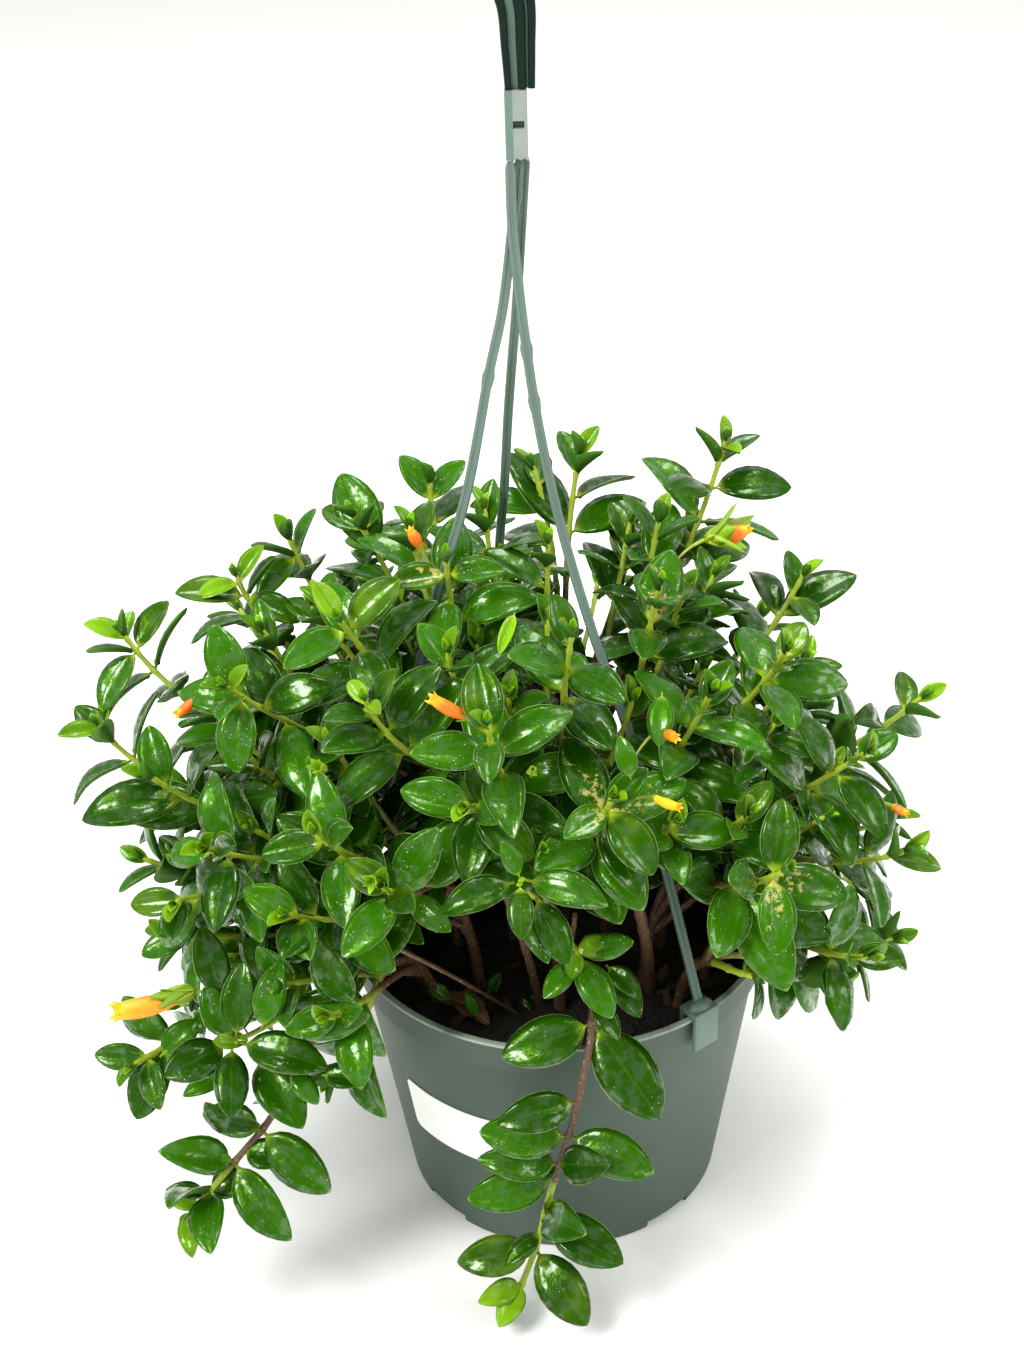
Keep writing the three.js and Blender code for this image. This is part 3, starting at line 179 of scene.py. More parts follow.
# Each shoot seen in the photograph: its tip, a point lower on its stem (heel), how far out on
# the mound it reaches, and the tips of its leaves in pairs from the tip down, all in pixels.
SHOOTS = [
  {"tip": [122, 632], "heel": [150, 672], "reach": 1,
    "pairs": [[[80, 625], [133, 612]], [[168, 600], [100, 715]]]},
  {"tip": [98, 725], "heel": [130, 765], "reach": 1,
    "pairs": [[[55, 738], [108, 700]], [[75, 706]]]},
  {"tip": [236, 576], "heel": [252, 612], "reach": 1,
    "pairs": [[[272, 537], [187, 605]], [[165, 592], [300, 622]]]},
  {"tip": [288, 535], "heel": [300, 566], "reach": 1, "pairs": [[], [[258, 600]]]},
  {"tip": [226, 686], "heel": [268, 716], "reach": 1,
    "pairs": [[[250, 665]], [[212, 622], [237, 775]], [[178, 688], [328, 683]], [[305, 793]]]},
  {"tip": [338, 618], "heel": [362, 650], "reach": 1,
    "pairs": [[[310, 577]], [[400, 578], [283, 668]], [[385, 705]]]},
  {"tip": [352, 512], "heel": [374, 545], "reach": 1,
    "pairs": [[], [[322, 508], [378, 500]], [[340, 472]]]},
  {"tip": [430, 478], "heel": [429, 515], "reach": 1,
    "pairs": [[], [[400, 455], [465, 460]], [], [[345, 533]]]},
  {"tip": [446, 557], "heel": [449, 600], "reach": 1,
    "pairs": [[], [[390, 583], [505, 570]], [[455, 515], [437, 665]], [[537, 590]]]},
  {"tip": [365, 700], "reach": 0.95, "pairs": [[[350, 682], [382, 716]], [], [[438, 665], [325, 745]]]},
  {"tip": [488, 724], "reach": 1,
    "pairs": [[], [[477, 662], [488, 783]], [[412, 750], [568, 708]], [[510, 822]]]},
  {"tip": [572, 632], "heel": [564, 690], "reach": 1, "pairs": [[], [], [[515, 652], [622, 695]]]},
  {"tip": [580, 450], "heel": [571, 500], "reach": 1,
    "pairs": [[[600, 427]], [], [], [[513, 447], [643, 495]], [[538, 560]]]},
  {"tip": [533, 465], "heel": [545, 505], "reach": 1,
    "pairs": [[], [[540, 452]], [[470, 497]], [[502, 527]]]},
  {"tip": [725, 440], "heel": [712, 490], "reach": 1,
    "pairs": [[[741, 455]], [], [[792, 480], [673, 482]], [[650, 450]], [[752, 537], [657, 522]],
      [[612, 510]]]},
  {"tip": [660, 585], "reach": 0.97,
    "pairs": [[], [[645, 570], [690, 583]], [[672, 548], [645, 652]], [[728, 632]], [[653, 698]]]},
  {"tip": [803, 575], "heel": [775, 630], "reach": 1,
    "pairs": [[], [[815, 625]], [[855, 570], [755, 562]]]},
  {"tip": [787, 650], "heel": [762, 690], "reach": 1,
    "pairs": [[], [[805, 622]], [[745, 622], [850, 680]], [[750, 750]], [[685, 718], [818, 750]]]},
  {"tip": [922, 697], "heel": [885, 728], "reach": 1,
    "pairs": [[[947, 685]], [[903, 671]], [[865, 715]]]},
  {"tip": [868, 752], "heel": [835, 772], "reach": 1,
    "pairs": [[], [[898, 733]], [[803, 718], [885, 835]], [[765, 750], [858, 858]], [[803, 820]]]},
  {"tip": [787, 870], "reach": 0.95,
    "pairs": [[], [[783, 795], [778, 972]], [[737, 878], [851, 897]], [[720, 953], [785, 990]],
      [[687, 877], [880, 953]]]},
  {"tip": [675, 822], "reach": 0.8, "pairs": [[], [[737, 833], [645, 850]]]},
  {"tip": [612, 797], "reach": 0.9,
    "pairs": [[], [[564, 838], [655, 877]], [[567, 735], [685, 775]], [[540, 865], [643, 905]],
      [[620, 917]]]},
  {"tip": [520, 882], "reach": 0.62,
    "pairs": [[], [[503, 842], [521, 937]], [[443, 908], [605, 900]], [[565, 960]], [[550, 955]]]},
  {"tip": [578, 952], "reach": 0.5,
    "pairs": [[], [[605, 940], [563, 973]], [[632, 940], [548, 997]], [[607, 1015], [645, 995]]]},
  {"tip": [465, 806], "heel": [495, 808], "reach": 0.85,
    "pairs": [[], [[400, 790], [535, 860]], [[463, 880]]]},
  {"tip": [315, 833], "reach": 0.92,
    "pairs": [[], [[352, 828], [261, 855]], [[345, 925]], [[378, 875]], [[427, 850]]]},
  {"tip": [203, 848], "heel": [228, 856], "reach": 1,
    "pairs": [[[215, 832]], [[170, 855]], [[212, 928]]]},
  {"tip": [287, 914], "reach": 0.9, "pairs": [[], [[243, 890], [310, 960]], [[285, 952]]]},
  {"tip": [175, 903], "heel": [195, 893], "reach": 1,
    "pairs": [[], [[130, 905], [172, 940]], [[160, 950]]]},
  {"tip": [148, 775], "reach": 1, "pairs": [[], [[148, 725], [165, 797]], [[78, 812]], [[110, 802]]]},
  {"tip": [232, 1042], "reach": 0.95,
    "pairs": [[], [[207, 987], [230, 1117]], [[168, 1080], [325, 1068]], [[240, 962], [298, 1125]],
      [[277, 963], [318, 1103]], [[367, 1012]]]},
  {"tip": [133, 1065], "heel": [158, 1053], "reach": 0.95,
    "pairs": [[], [[94, 1055], [160, 1110]], [[122, 1003], [135, 1120]], [[198, 1020]]]},
  {"tip": [330, 1080], "reach": 0.8, "pairs": [[], [[363, 1078]], [[376, 1120]]]},
]

# The two stems that trail over the rim, from the soil out, and their leaves in pixels.
TRAILERS = [
  {"name": "trailing_stem_front",
    "route": [[12, -34, 87], [12, -34.2, 99], [13, -46, 116], [11.5, -66, 126], [10, -83, 121],
      [7, -88, 108], [3, -89, 88], [-1.3, -88.5, 70.9], [-5.9, -88, 51.7], [-10.4, -89, 30.5],
      [-15, -91, 17], [-18, -92, 8]],
    "woody_to": 0.78,
    "nodes": [6, 22, 39, 57, 64, 78, 94, 124],
    "pairs": [[[500, 1325], [481, 1300]], [[458, 1260], [586, 1325]], [[576, 1233], [620, 1266]],
      [[469, 1202]], [[484, 1160], [603, 1165]], [[480, 1135], [654, 1170]], [[500, 1121]],
      [[503, 1058], [662, 1121]]]},
  {"name": "trailing_stem_left",
    "route": [[-48, -30, 87], [-48.3, -30.2, 99], [-56, -35, 117], [-71, -43, 125], [-82, -54, 117],
      [-92, -66, 98], [-104, -76, 81], [-116, -83, 69], [-128, -88, 56], [-134, -90, 50]],
    "woody_to": 0.92,
    "nodes": [4, 12, 26, 41, 57],
    "pairs": [[[188, 1252]], [[166, 1198], [205, 1248]], [[168, 1150], [285, 1242]],
      [[204, 1110], [328, 1193]], [[258, 1095]]]},
]

# Where the blooms sit: their foot and mouth in pixels, reach on the mound, belly and true length.
BLOOMS = [
  {"foot": [190, 992], "mouth": [125, 998], "reach": 0.98, "belly": 4.4, "length": 25},
  {"foot": [470, 718], "mouth": [427, 705], "reach": 0.93, "belly": 3.4, "length": 17},
  {"foot": [711, 538], "mouth": [747, 546], "reach": 1, "belly": 4.8, "length": 15},
  {"foot": [421, 548], "mouth": [407, 538], "reach": 0.96, "belly": 3, "length": 12},
  {"foot": [197, 698], "mouth": [195, 724], "reach": 0.97, "belly": 2.8, "length": 12},
  {"foot": [664, 731], "mouth": [668, 750], "reach": 0.9, "belly": 3, "length": 12},
  {"foot": [655, 798], "mouth": [676, 812], "reach": 0.88, "belly": 2.8, "length": 11},
  {"foot": [891, 806], "mouth": [900, 820], "reach": 0.96, "belly": 2.6, "length": 10},
]
BLOOM = {
    "foot_radius": 1.5,
    "mouth_radius": 1.9,
    "sag": 0.1,
    "gap": 0.35,
    "pedicel": 0.85,
    "stalk_least": 8,
    "seats": (0.4, 0.5, 0.6, 0.7, 0.8, 0.9),
}
# Shoots that the photograph doesn't show apart are set by rule over the rest of the mound.
FILL = {
    "count": 190,
    "seed": 11,
    "spacing": 38,
    "low": 52,
    "low_reach": 106,
    "front_low": 172,
    "front_half": 40,
    "reach": (0.84, 1),
    "jitter": 9,
}
# Main stems stand in three rings on the soil. A shoot joins the ring that its height calls for.
RINGS = [
    {"up_to": 20, "radius": 57, "sectors": 10, "fork": (73, 126)},
    {"up_to": 48, "radius": 38, "sectors": 8, "fork": (50, 150)},
    {"up_to": 91, "radius": 17, "sectors": 4, "fork": (24, 168)},
]
RING_EYE = 105


def mix(low, high, share):
    return low + (high - low) * share


def unit(vector):
    return vector / np.linalg.norm(vector)


def distance(one, other):
    return float(np.linalg.norm(np.subtract(one, other)))


class SeededRandom:
    """Numbers from 0 to 1 that come in the same order on every run."""

    LIMIT = 0xFFFFFFFF

    def __init__(self, seed):
        self.state = seed

    def __call__(self):
        self.state = (self.state + 0x6D2B79F5) & self.LIMIT
        bits = ((self.state ^ (self.state >> 15)) * (1 | self.state)) & self.LIMIT
        bits = (bits + ((bits ^ (bits >> 7)) * (61 | bits) & self.LIMIT)) & self.LIMIT ^ bits
        return (bits ^ (bits >> 14)) / 4294967296

    def between(self, low, high):
        return mix(low, high, self())


# Lines through space.


class Line:
    """A smooth line, with places on it given as a share of its length."""

    TABLE = 200

    def __init__(self, points_at):
        self.points_at = points_at
        self.table = np.linspace(0, 1, self.TABLE + 1)
        steps = np.diff(points_at(self.table), axis=0)
        self.lengths = np.concatenate([[0], np.cumsum(np.linalg.norm(steps, axis=1))])
        self.length = float(self.lengths[-1])

    def times(self, shares):
        return np.interp(np.asarray(shares, float) * self.length, self.lengths, self.table)

    def at(self, share):
        return self.points_at(self.times([share]))[0]

    def spaced(self, count):
        return self.points_at(self.times(np.linspace(0, 1, count + 1)))

    def heading(self, share):
        time = float(self.times([share])[0])
        ends = np.array([max(time - 0.0001, 0), min(time + 0.0001, 1)])
        low, high = self.points_at(ends)
        return unit(high - low)


def bezier(*corners):
    """A line bent by three or four corner points."""
    corners = np.array(corners, float)
    degree = len(corners) - 1
    powers = np.arange(degree + 1)
    ways = np.array([math.comb(degree, k) for k in powers])

    def points_at(times):
        t = np.asarray(times, float)[:, None]
        return (ways * (1 - t) ** (degree - powers) * t ** powers) @ corners

    return Line(points_at)


def spline(route):
    """A line through every point of a route, without loops at uneven gaps."""
    route = np.array(route, float)
    before = 2 * route[0] - route[1]
    after = 2 * route[-1] - route[-2]
    knots = np.vstack([before, route, after])
    last = len(route) - 1

    def span(index, t):
        p0, p1, p2, p3 = knots[index:index + 4]
        gaps = [max(distance(a, b) ** 0.5, 1e-4) for a, b in ((p0, p1), (p1, p2), (p2, p3))]
        d0, d1, d2 = gaps
        t1 = ((p1 - p0) / d0 - (p2 - p0) / (d0 + d1) + (p2 - p1) / d1) * d1
        t2 = ((p2 - p1) / d1 - (p3 - p1) / (d1 + d2) + (p3 - p2) / d2) * d1
        cubic = 2 * p1 - 2 * p2 + t1 + t2
        square = -3 * p1 + 3 * p2 - 2 * t1 - t2
        return p1 + t1 * t + square * t ** 2 + cubic * t ** 3

    def points_at(times):
        points = []
        for time in np.asarray(times, float):
            place = time * last
            index = min(int(place), last - 1)
            points.append(span(index, place - index))
        return np.array(points)

    return Line(points_at)


# The photograph's lines of sight.


def camera_axes():
    down, turn, roll = (math.radians(CAMERA[key]) for key in ("down", "turn", "roll"))
    forward = np.array([
        math.sin(turn) * math.cos(down), math.cos(turn) * math.cos(down), -math.sin(down)])
    level = unit(np.cross(forward, UP))
    above = np.cross(level, forward)
    right = level * math.cos(roll) + above * math.sin(roll)
    top = above * math.cos(roll) - level * math.sin(roll)
    return forward, right, top


EYE = np.array(CAMERA["place"], float)
FORWARD, RIGHT, TOP = camera_axes()


def sight_line(pixel):
    across = (pixel[0] - CAMERA["width"] / 2) / CAMERA["focal"]
    rise = (CAMERA["height"] / 2 - pixel[1]) / CAMERA["focal"]
    return FORWARD + RIGHT * across + TOP * rise


def on_mound(pixel, reach):
    """Where a pixel's line of sight meets the mound, or passes nearest to it."""
    radii = np.array(MOUND["radii"], float) * reach
    line = sight_line(pixel)
    start = (EYE - MOUND["centre"]) / radii
    step = line / radii
    a, b = step @ step, start @ step
    room = max(b * b - a * (start @ start - 1), 0)
    return EYE + line * (-b - math.sqrt(room)) / a


def nearest_on_line(pixel, point):
    line = sight_line(pixel)
    return EYE + line * ((point - EYE) @ line) / (line @ line)


def mound_normal(point):
    radii = np.array(MOUND["radii"], float)
    return unit((point - MOUND["centre"]) / radii / radii)


def growth_direction(tip):
    return unit(mound_normal(tip) + UP * MOUND["lift"])


def outward_at(point):
    return unit(np.array([point[0], point[1], 0.0]))


def ring_hint(point):
    return unit(np.array([-point[1], point[0], 0.0]))


def hanging_direction(tip):
    """Low shoots have tipped over the rim and hang."""
    return unit(outward_at(tip) * 0.45 - UP * 0.9)


# Shoots: tips, directions and stems.


class Shoot:
    """A leafy stem with the places of its leaf pairs."""

    def __init__(self, tip, heading, pairs, seen, hangs=False, spin=0.0):
        self.tip, self.heading, self.pairs, self.seen = tip, heading, pairs, seen
        self.hangs, self.spin = hangs, spin
        self.trailing, self.nodes = False, LEAF["nodes"]
        self.stem, self.leaves = None, []


def photo_shoot(row):
    tip = on_mound(row["tip"], row["reach"])
    heading = growth_direction(tip)
    if "heel" in row:
        back = tip - heading * LEAF["nodes"][3]
        heading = unit(tip - nearest_on_line(row["heel"], back))
    return Shoot(tip, heading, row["pairs"], True)


def mound_spots(rule, random):
    """Points spread evenly over the mound at varying depths."""
    golden = math.pi * (3 - math.sqrt(5))
    for i in range(rule["count"]):
        height = 1 - (2 * (i + 0.5)) / rule["count"]
        around = math.sqrt(1 - height * height)
        ball = np.array([math.cos(golden * i) * around, math.sin(golden * i) * around, height])
        reach = random.between(*rule["reach"])
        yield ball * MOUND["radii"] * reach + MOUND["centre"]


def is_low(tip, rule):
    """True below the height where a rule's shoots end, which is greater at the front."""
    bearing = abs(math.degrees(math.atan2(tip[0], -tip[1])))
    return tip[2] <= (rule["front_low"] if bearing < rule["front_half"] else rule["low"])


def fill_shoots(taken):
    random, made = SeededRandom(FILL["seed"]), []
    for tip in mound_spots(FILL, random):
        tip += [(random() - 0.5) * FILL["jitter"] for _ in range(3)]
        spin = random() * math.pi
        crowded = any(distance(other.tip, tip) < FILL["spacing"] for other in taken + made)
        hangs = tip[2] < MOUND["hang_below"]
        tucked = hangs and math.hypot(tip[0], tip[1]) < FILL["low_reach"]
        if not (is_low(tip, FILL) or crowded or tucked):
            heading = hanging_direction(tip) if hangs else growth_direction(tip)
            made.append(Shoot(tip, heading, [], False, hangs, spin))
    return made


def bearing_of(point):
    return math.atan2(point[1], point[0])


class Spray:
    """One main stem with the shoots that fork from it."""

    def __init__(self, ring, key):
        self.ring, self.key, self.shoots = ring, key, []
        self.trunk, self.foot = None, None


def gather_sprays(shoots):
    """Shoots that share a ring and a sector share one main stem."""
    sprays = {}
    for shoot in shoots:
        flat = math.hypot(shoot.tip[0], shoot.tip[1])
        climb = math.degrees(math.atan2(shoot.tip[2] - RING_EYE, flat))
        ring = next(i for i, entry in enumerate(RINGS) if climb < entry["up_to"])
        turn = (bearing_of(shoot.tip) + 2 * math.pi + math.pi * ring / 8) % (2 * math.pi)
        sector = math.floor(turn / (2 * math.pi) * RINGS[ring]["sectors"])
        key = ring * 100 + sector
        sprays.setdefault(key, Spray(ring, key)).shoots.append(shoot)
    return [sprays[key] for key in sorted(sprays)]


def beside_strands(bearing):
    """Main stems rise beside the clips of the hanger, not under them."""
    clear = bearing
    for route in STRAND_ROUTES.values():
        clip = bearing_of(route[0])
        off = math.atan2(math.sin(bearing - clip), math.cos(bearing - clip))
        if abs(off) < CLIP["clear_turn"]:
            clear = clip + (-1 if off < 0 else 1) * CLIP["clear_turn"]
    return clear


def add_main_stem(spray):
    ring = RINGS[spray.ring]
    middle = np.mean([shoot.tip for shoot in spray.shoots], axis=0)
    bearing = beside_strands(bearing_of(middle))

    def spot(radius, height):
        return np.array([radius * math.cos(bearing), radius * math.sin(bearing), height])

    foot = spot(ring["radius"], SOIL["top"] - SOIL["bury"])
    fork = spot(*ring["fork"])
    upright = np.array([foot[0], foot[1], SOIL["top"] + 18])
    before_fork = mix(upright, fork, 0.6) + UP * 3
    spray.trunk = bezier(foot, upright, before_fork, fork)
    spray.foot = foot


def branch_line(spray, shoot, order, bend):
    start = 1 - 0.12 * (order % 5)
    fork = spray.trunk.at(start)
    gap = distance(fork, shoot.tip)
    straight = unit(shoot.tip - fork)
    leaving = unit(mix(spray.trunk.heading(start), straight, 0.8))
    sideways = unit(np.cross(straight, UP))
    first = fork + leaving * gap * 0.34 + sideways * bend
    reach = min(gap * 0.6, 45) if shoot.hangs else min(gap * 0.42, 52)
    second = shoot.tip - shoot.heading * reach
    if shoot.tip[2] < POT["height"] + 20:
        first[2] = max(first[2], POT["height"] + 26)
    return bezier(fork, first, second, shoot.tip)


def passes(line, obstacles):
    points = line.points_at(np.linspace(0, 1, 31))
    gaps = np.linalg.norm(points[:, None] - obstacles[None], axis=2)
    return bool(gaps.min() > STEM["clear"])


def add_branch(spray, shoot, order, strands):
    """The branch takes the first bend that passes the strands with room to spare."""
    lines = [branch_line(spray, shoot, order, bend) for bend in STEM["bends"]]
    shoot.stem = next((line for line in lines if passes(line, strands)), lines[0])


def trailer_shoot(row):
    stem = spline(row["route"])
    shoot = Shoot(stem.at(1), stem.heading(1), row["pairs"], True, hangs=True)
    shoot.stem, shoot.nodes, shoot.trailing = stem, row["nodes"], True
    shoot.woody_to = row["woody_to"]
    return shoot


# Leaves: where each one is rooted and which way it lies.


class Leaf:
    """The frame of one leaf: its root, its long axis, its width and its upper face."""

    SPOTS = [(u, v) for u in (0.18, 0.38, 0.58, 0.78, 1) for v in (-0.75, 0, 0.75)]

    def __init__(self, node, along, axis, length, roll):
        self.node, self.along, self.length = node, along, length
        self.root = node + along * LEAF["root_gap"]
        up = unit(axis - along * (axis @ along))
        across = np.cross(up, along)
        self.up = up * math.cos(roll) + across * math.sin(roll)
        self.across = np.cross(self.up, along)
        self.middle = self.point(0.5, 0)
        self.samples = np.array([self.point(u, v * half_width_at(u)) for u, v in self.SPOTS])
        self.pair, self.share, self.seen = 0, 1.0, False

    def point(self, u, v):
        wide = self.length * LEAF["half_width"] * v
        return (self.root + self.along * self.length * u + self.across * wide
                + self.up * self.length * bow_at(u))

    def heights(self, points):
        """How far points stand over this leaf's face, leaving out those beside it."""
        local = points - self.root
        u = local @ self.along / self.length
        beside = np.abs(local @ self.across) / (self.length * LEAF["half_width"])
        heights = local @ self.up - self.length * bow_at(u)
        over = (u >= 0.05) & (u <= 1.04) & (beside <= half_widths(np.minimum(u, 1)) + 0.12)
        return heights, over


def half_width_at(u):
    if u < LEAF["shoulder"]:
        return u / LEAF["shoulder"]
    if u < LEAF["waist"]:
        share = (u - LEAF["shoulder"]) / (LEAF["waist"] - LEAF["shoulder"])
        return mix(1, LEAF["waist_width"], share)
    return LEAF["waist_width"] * (1 - u) / (1 - LEAF["waist"])


def half_widths(shares):
    stations = [0, LEAF["shoulder"], LEAF["waist"], 1]
    return np.interp(shares, stations, [0, 1, LEAF["waist_width"], 0])


def bow_at(u):
    return LEAF["arch"] * np.sin(np.pi * u) - LEAF["droop"] * u * u


def leaf_to_pixel(spot, length, pixel, roll):
    """The leaf from a stem node whose tip lies on a pixel's line of sight."""
    line = sight_line(pixel)
    start = EYE - spot["root"]
    a, b = line @ line, line @ start
    nearest = distance(nearest_on_line(pixel, spot["root"]), spot["root"])
    size = min(max(length, nearest * 1.01), length * 1.35)
    room = max(b * b - a * (start @ start - size * size), 0)
    ends = [start + line * (-b + side * math.sqrt(room)) / a for side in (-1, 1)]
    if not spot["hangs"]:
        ends.sort(key=lambda end: abs(end @ spot["axis"] - 0.3 * size))
    return Leaf(spot["root"], unit(ends[0]), spot["face"], size, roll)


def leaf_by_rule(spot, zero, pair, turn, lift, roll, scale=1.0):
    quarter = np.cross(spot["axis"], zero)
    angle = turn + (pair % 2) * (math.radians(38) if spot["hangs"] else math.pi / 2)
    out = zero * math.cos(angle) + quarter * math.sin(angle)
    opening = math.radians(LEAF["angles"][pair] + lift)
    along = spot["axis"] * math.cos(opening) + out * math.sin(opening)
    return Leaf(spot["root"], along, spot["face"], LEAF["lengths"][pair] * scale, roll)


def leaves_meet(one, other):
    for host, guest in ((one, other), (other, one)):
        heights, over = host.heights(guest.samples)
        found = heights[over]
        if found.size and (np.abs(found).min() < LEAF["clear"] or found.min() < 0 < found.max()):
            return True
    return False


def in_pot(points, room):
    """True where a point is in the pot, in the soil or under the floor."""
    flat = np.hypot(points[:, 0], points[:, 1])
    height = points[:, 2]
    outer = mix(POT["foot_radius"], POT["top_radius"], height / POT["height"]) + room + 1
    inner = POT["wall_top_radius"] - POT["wall"] - room
    solid = (flat > inner) | (height < SOIL["top"] + room + SOIL["bump"])
    return (height < room) | ((height <= POT["height"] + room) & (flat < outer) & solid)


class Thicket:
    """The leaves and sticks placed so far, which a new leaf has to clear."""

    def __init__(self):
        self.leaves, self.stick_points, self.stick_radii = [], [], []
        self.middles, self.lengths = np.empty((0, 3)), np.empty(0)

    def add_stick(self, points, radius):
        self.stick_points.extend(points)
        self.stick_radii.extend([radius] * len(points))

    def freeze_sticks(self):
        self.points, self.radii = np.array(self.stick_points), np.array(self.stick_radii)

    def clashes(self, leaf):
        if in_pot(leaf.samples, 1).any():
            return True
        gaps = np.linalg.norm(self.points - leaf.middle, axis=1)
        near = gaps < leaf.length * 0.62
        near &= np.linalg.norm(self.points - leaf.root, axis=1) > 6
        heights, over = leaf.heights(self.points[near])
        if (over & (np.abs(heights) < LEAF["clear"] + self.radii[near])).any():
            return True
        apart = np.linalg.norm(self.middles - leaf.middle, axis=1)
        close = np.flatnonzero(apart <= (leaf.length + self.lengths) * 0.56)
        return any(leaves_meet(leaf, self.leaves[i]) for i in close)

    def add_leaf(self, leaf):
        self.leaves.append(leaf)
        self.middles = np.vstack([self.middles, leaf.middle])
        self.lengths = np.append(self.lengths, leaf.length)


TRY_LIFTS = (0, -13, 12, -24, 22)
TRY_ROLLS = (0, 16, -16, 30, -30)


def node_spot(shoot, back):
    share = 1 - back / shoot.stem.length
    if share < 0.06:
        return None
    root, axis = shoot.stem.at(share), shoot.stem.heading(share)
    face = unit(outward_at(root) + UP * 0.9) if shoot.hangs else axis
    return {"root": root, "axis": axis, "face": face, "share": share, "hangs": shoot.hangs}


def keep_leaf(thicket, shoot, leaf, pair, share, seen):
    leaf.pair, leaf.share, leaf.seen = pair, share, seen
    thicket.add_leaf(leaf)
    shoot.leaves.append(leaf)


def place_seen_leaves(thicket, shoot):
    for pair, pixels in enumerate(shoot.pairs):
        spot = node_spot(shoot, shoot.nodes[pair])
        for pixel in pixels if spot else []:
            if shoot.trailing:
                length = min(LEAF["lengths"][pair + 1] if pair < 6 else 31, 29)
            else:
                length = LEAF["lengths"][pair]
            tries = [leaf_to_pixel(spot, length, pixel, math.radians(roll)) for roll in TRY_ROLLS]
            leaf = next((one for one in tries if not thicket.clashes(one)), tries[0])
            keep_leaf(thicket, shoot, leaf, pair, spot["share"], True)


def rule_leaf(thicket, spot, zero, pair, turn, scale=1.0):
    for lift in TRY_LIFTS:
        for roll in TRY_ROLLS[:3]:
            leaf = leaf_by_rule(spot, zero, pair, turn, lift, math.radians(roll), scale)
            if not thicket.clashes(leaf):
                return leaf
    return None


def pair_turn(shoot, spot):
    """The direction that the angles of a shoot's leaf pairs are counted from."""
    first = next((leaf for leaf in shoot.leaves if leaf.seen), None)
    zero = first.along if first else (ring_hint(spot["root"]) if shoot.hangs else RIGHT)
    zero = unit(zero - spot["axis"] * (zero @ spot["axis"]))
    if first:
        return zero, (first.pair % 2) * math.pi / 2
    return zero, -0.33 if shoot.hangs else shoot.spin


def place_rule_leaves(thicket, shoot, pair):
    """The crosswise pairs that the photograph leaves out."""
    filled = shoot.seen and pair < len(shoot.pairs) and len(shoot.pairs[pair]) > 0
    spot = node_spot(shoot, LEAF["nodes"][pair])
    if filled or shoot.trailing or not spot:
        return
    zero, turn = pair_turn(shoot, spot)
    for side in (0, math.pi):
        leaf = rule_leaf(thicket, spot, zero, pair, turn + side)
        if leaf:
            keep_leaf(thicket, shoot, leaf, pair, spot["share"], False)


# Blooms and their stalks.


class Bloom:
    """A pouch-shaped bloom: its foot, the way it points and the stalk that carries it."""

    def __init__(self, row, shoots, strands):
        self.belly, self.length = row["belly"], row["length"]
        self.foot = on_mound(row["foot"], row["reach"])
        heading = nearest_on_line(row["mouth"], self.foot) - self.foot
        depth = math.sqrt(max(self.length ** 2 - heading @ heading, 0))
        self.heading = unit(heading + mound_normal(self.foot) * depth)
        seats = [(seat_on(shoot, share), shoot) for shoot in shoots for share in BLOOM["seats"]]
        seats = [seat for seat in seats if distance(seat[0], self.foot) > BLOOM["stalk_least"]]
        seats.sort(key=lambda seat: distance(seat[0], self.foot))
        lines = (self.stalk_from(seat) for seat, _ in seats)
        self.stalk = next(line for line in lines if passes(line, strands))

    def stalk_from(self, seat):
        before = self.foot - self.heading * distance(seat, self.foot) * 0.35
        return bezier(seat, before, self.foot)

    def line(self):
        start = self.foot + self.heading * BLOOM["gap"]
        end = self.foot + self.heading * self.length
        middle = mix(start, end, 0.5) - UP * self.length * BLOOM["sag"]
        return bezier(start, middle, end)


def seat_on(shoot, share):
    """The point on a stem's straight steps where something grows out of it."""
    steps = STEM["trailer_steps"] if shoot.trailing else STEM["steps"]
    step = min(math.floor(share * steps), steps - 1)
    low, high = shoot.stem.at(step / steps), shoot.stem.at((step + 1) / steps)
    return mix(low, high, share * steps - step)


def strand_points():
    return np.vstack([spline(route).spaced(80) for route in STRAND_ROUTES.values()])


class Plant:
    """The whole plant, grown in the order that keeps every leaf clear of the others."""

    def __init__(self):
        seen = [photo_shoot(row) for row in SHOOTS]
        shoots = seen + fill_shoots(seen)
        self.sprays = gather_sprays(shoots)
        self.thicket = Thicket()
        strands = strand_points()
        self.thicket.add_stick(strands, STRAND["width"] / 2)
        for spray in self.sprays:
            add_main_stem(spray)
            self.thicket.add_stick(spray.trunk.spaced(20), STEM["trunk"][0])
            for order, shoot in enumerate(spray.shoots):
                add_branch(spray, shoot, order, strands)
        self.trailers = [trailer_shoot(row) for row in TRAILERS]
        self.extra = []
        self.shoots = shoots + self.trailers
        for shoot in self.shoots:
            count = math.ceil(shoot.stem.length / 4)
            self.thicket.add_stick(shoot.stem.spaced(count), STEM["branch"][0])
        self.blooms = [Bloom(row, seen, strands) for row in BLOOMS]
        for bloom in self.blooms:
            self.thicket.add_stick(bloom.line().spaced(6), bloom.belly)
            self.thicket.add_stick(bloom.stalk.spaced(5), BLOOM["pedicel"])
        self.thicket.freeze_sticks()
        for shoot in self.shoots:
            place_seen_leaves(self.thicket, shoot)
        for pair in range(1, len(LEAF["nodes"])):
            for shoot in self.shoots:
                place_rule_leaves(self.thicket, shoot, pair)

    def nodes(self):
        """The shoots that belong to each solid of the frame, and its main stem if it has one."""
        for index, spray in enumerate(self.sprays):
            yield f"spray_{index + 1:02d}", spray.shoots, spray.trunk
        for row, shoot in zip(TRAILERS, self.trailers):
            yield row["name"], [shoot], None


# Meshes.


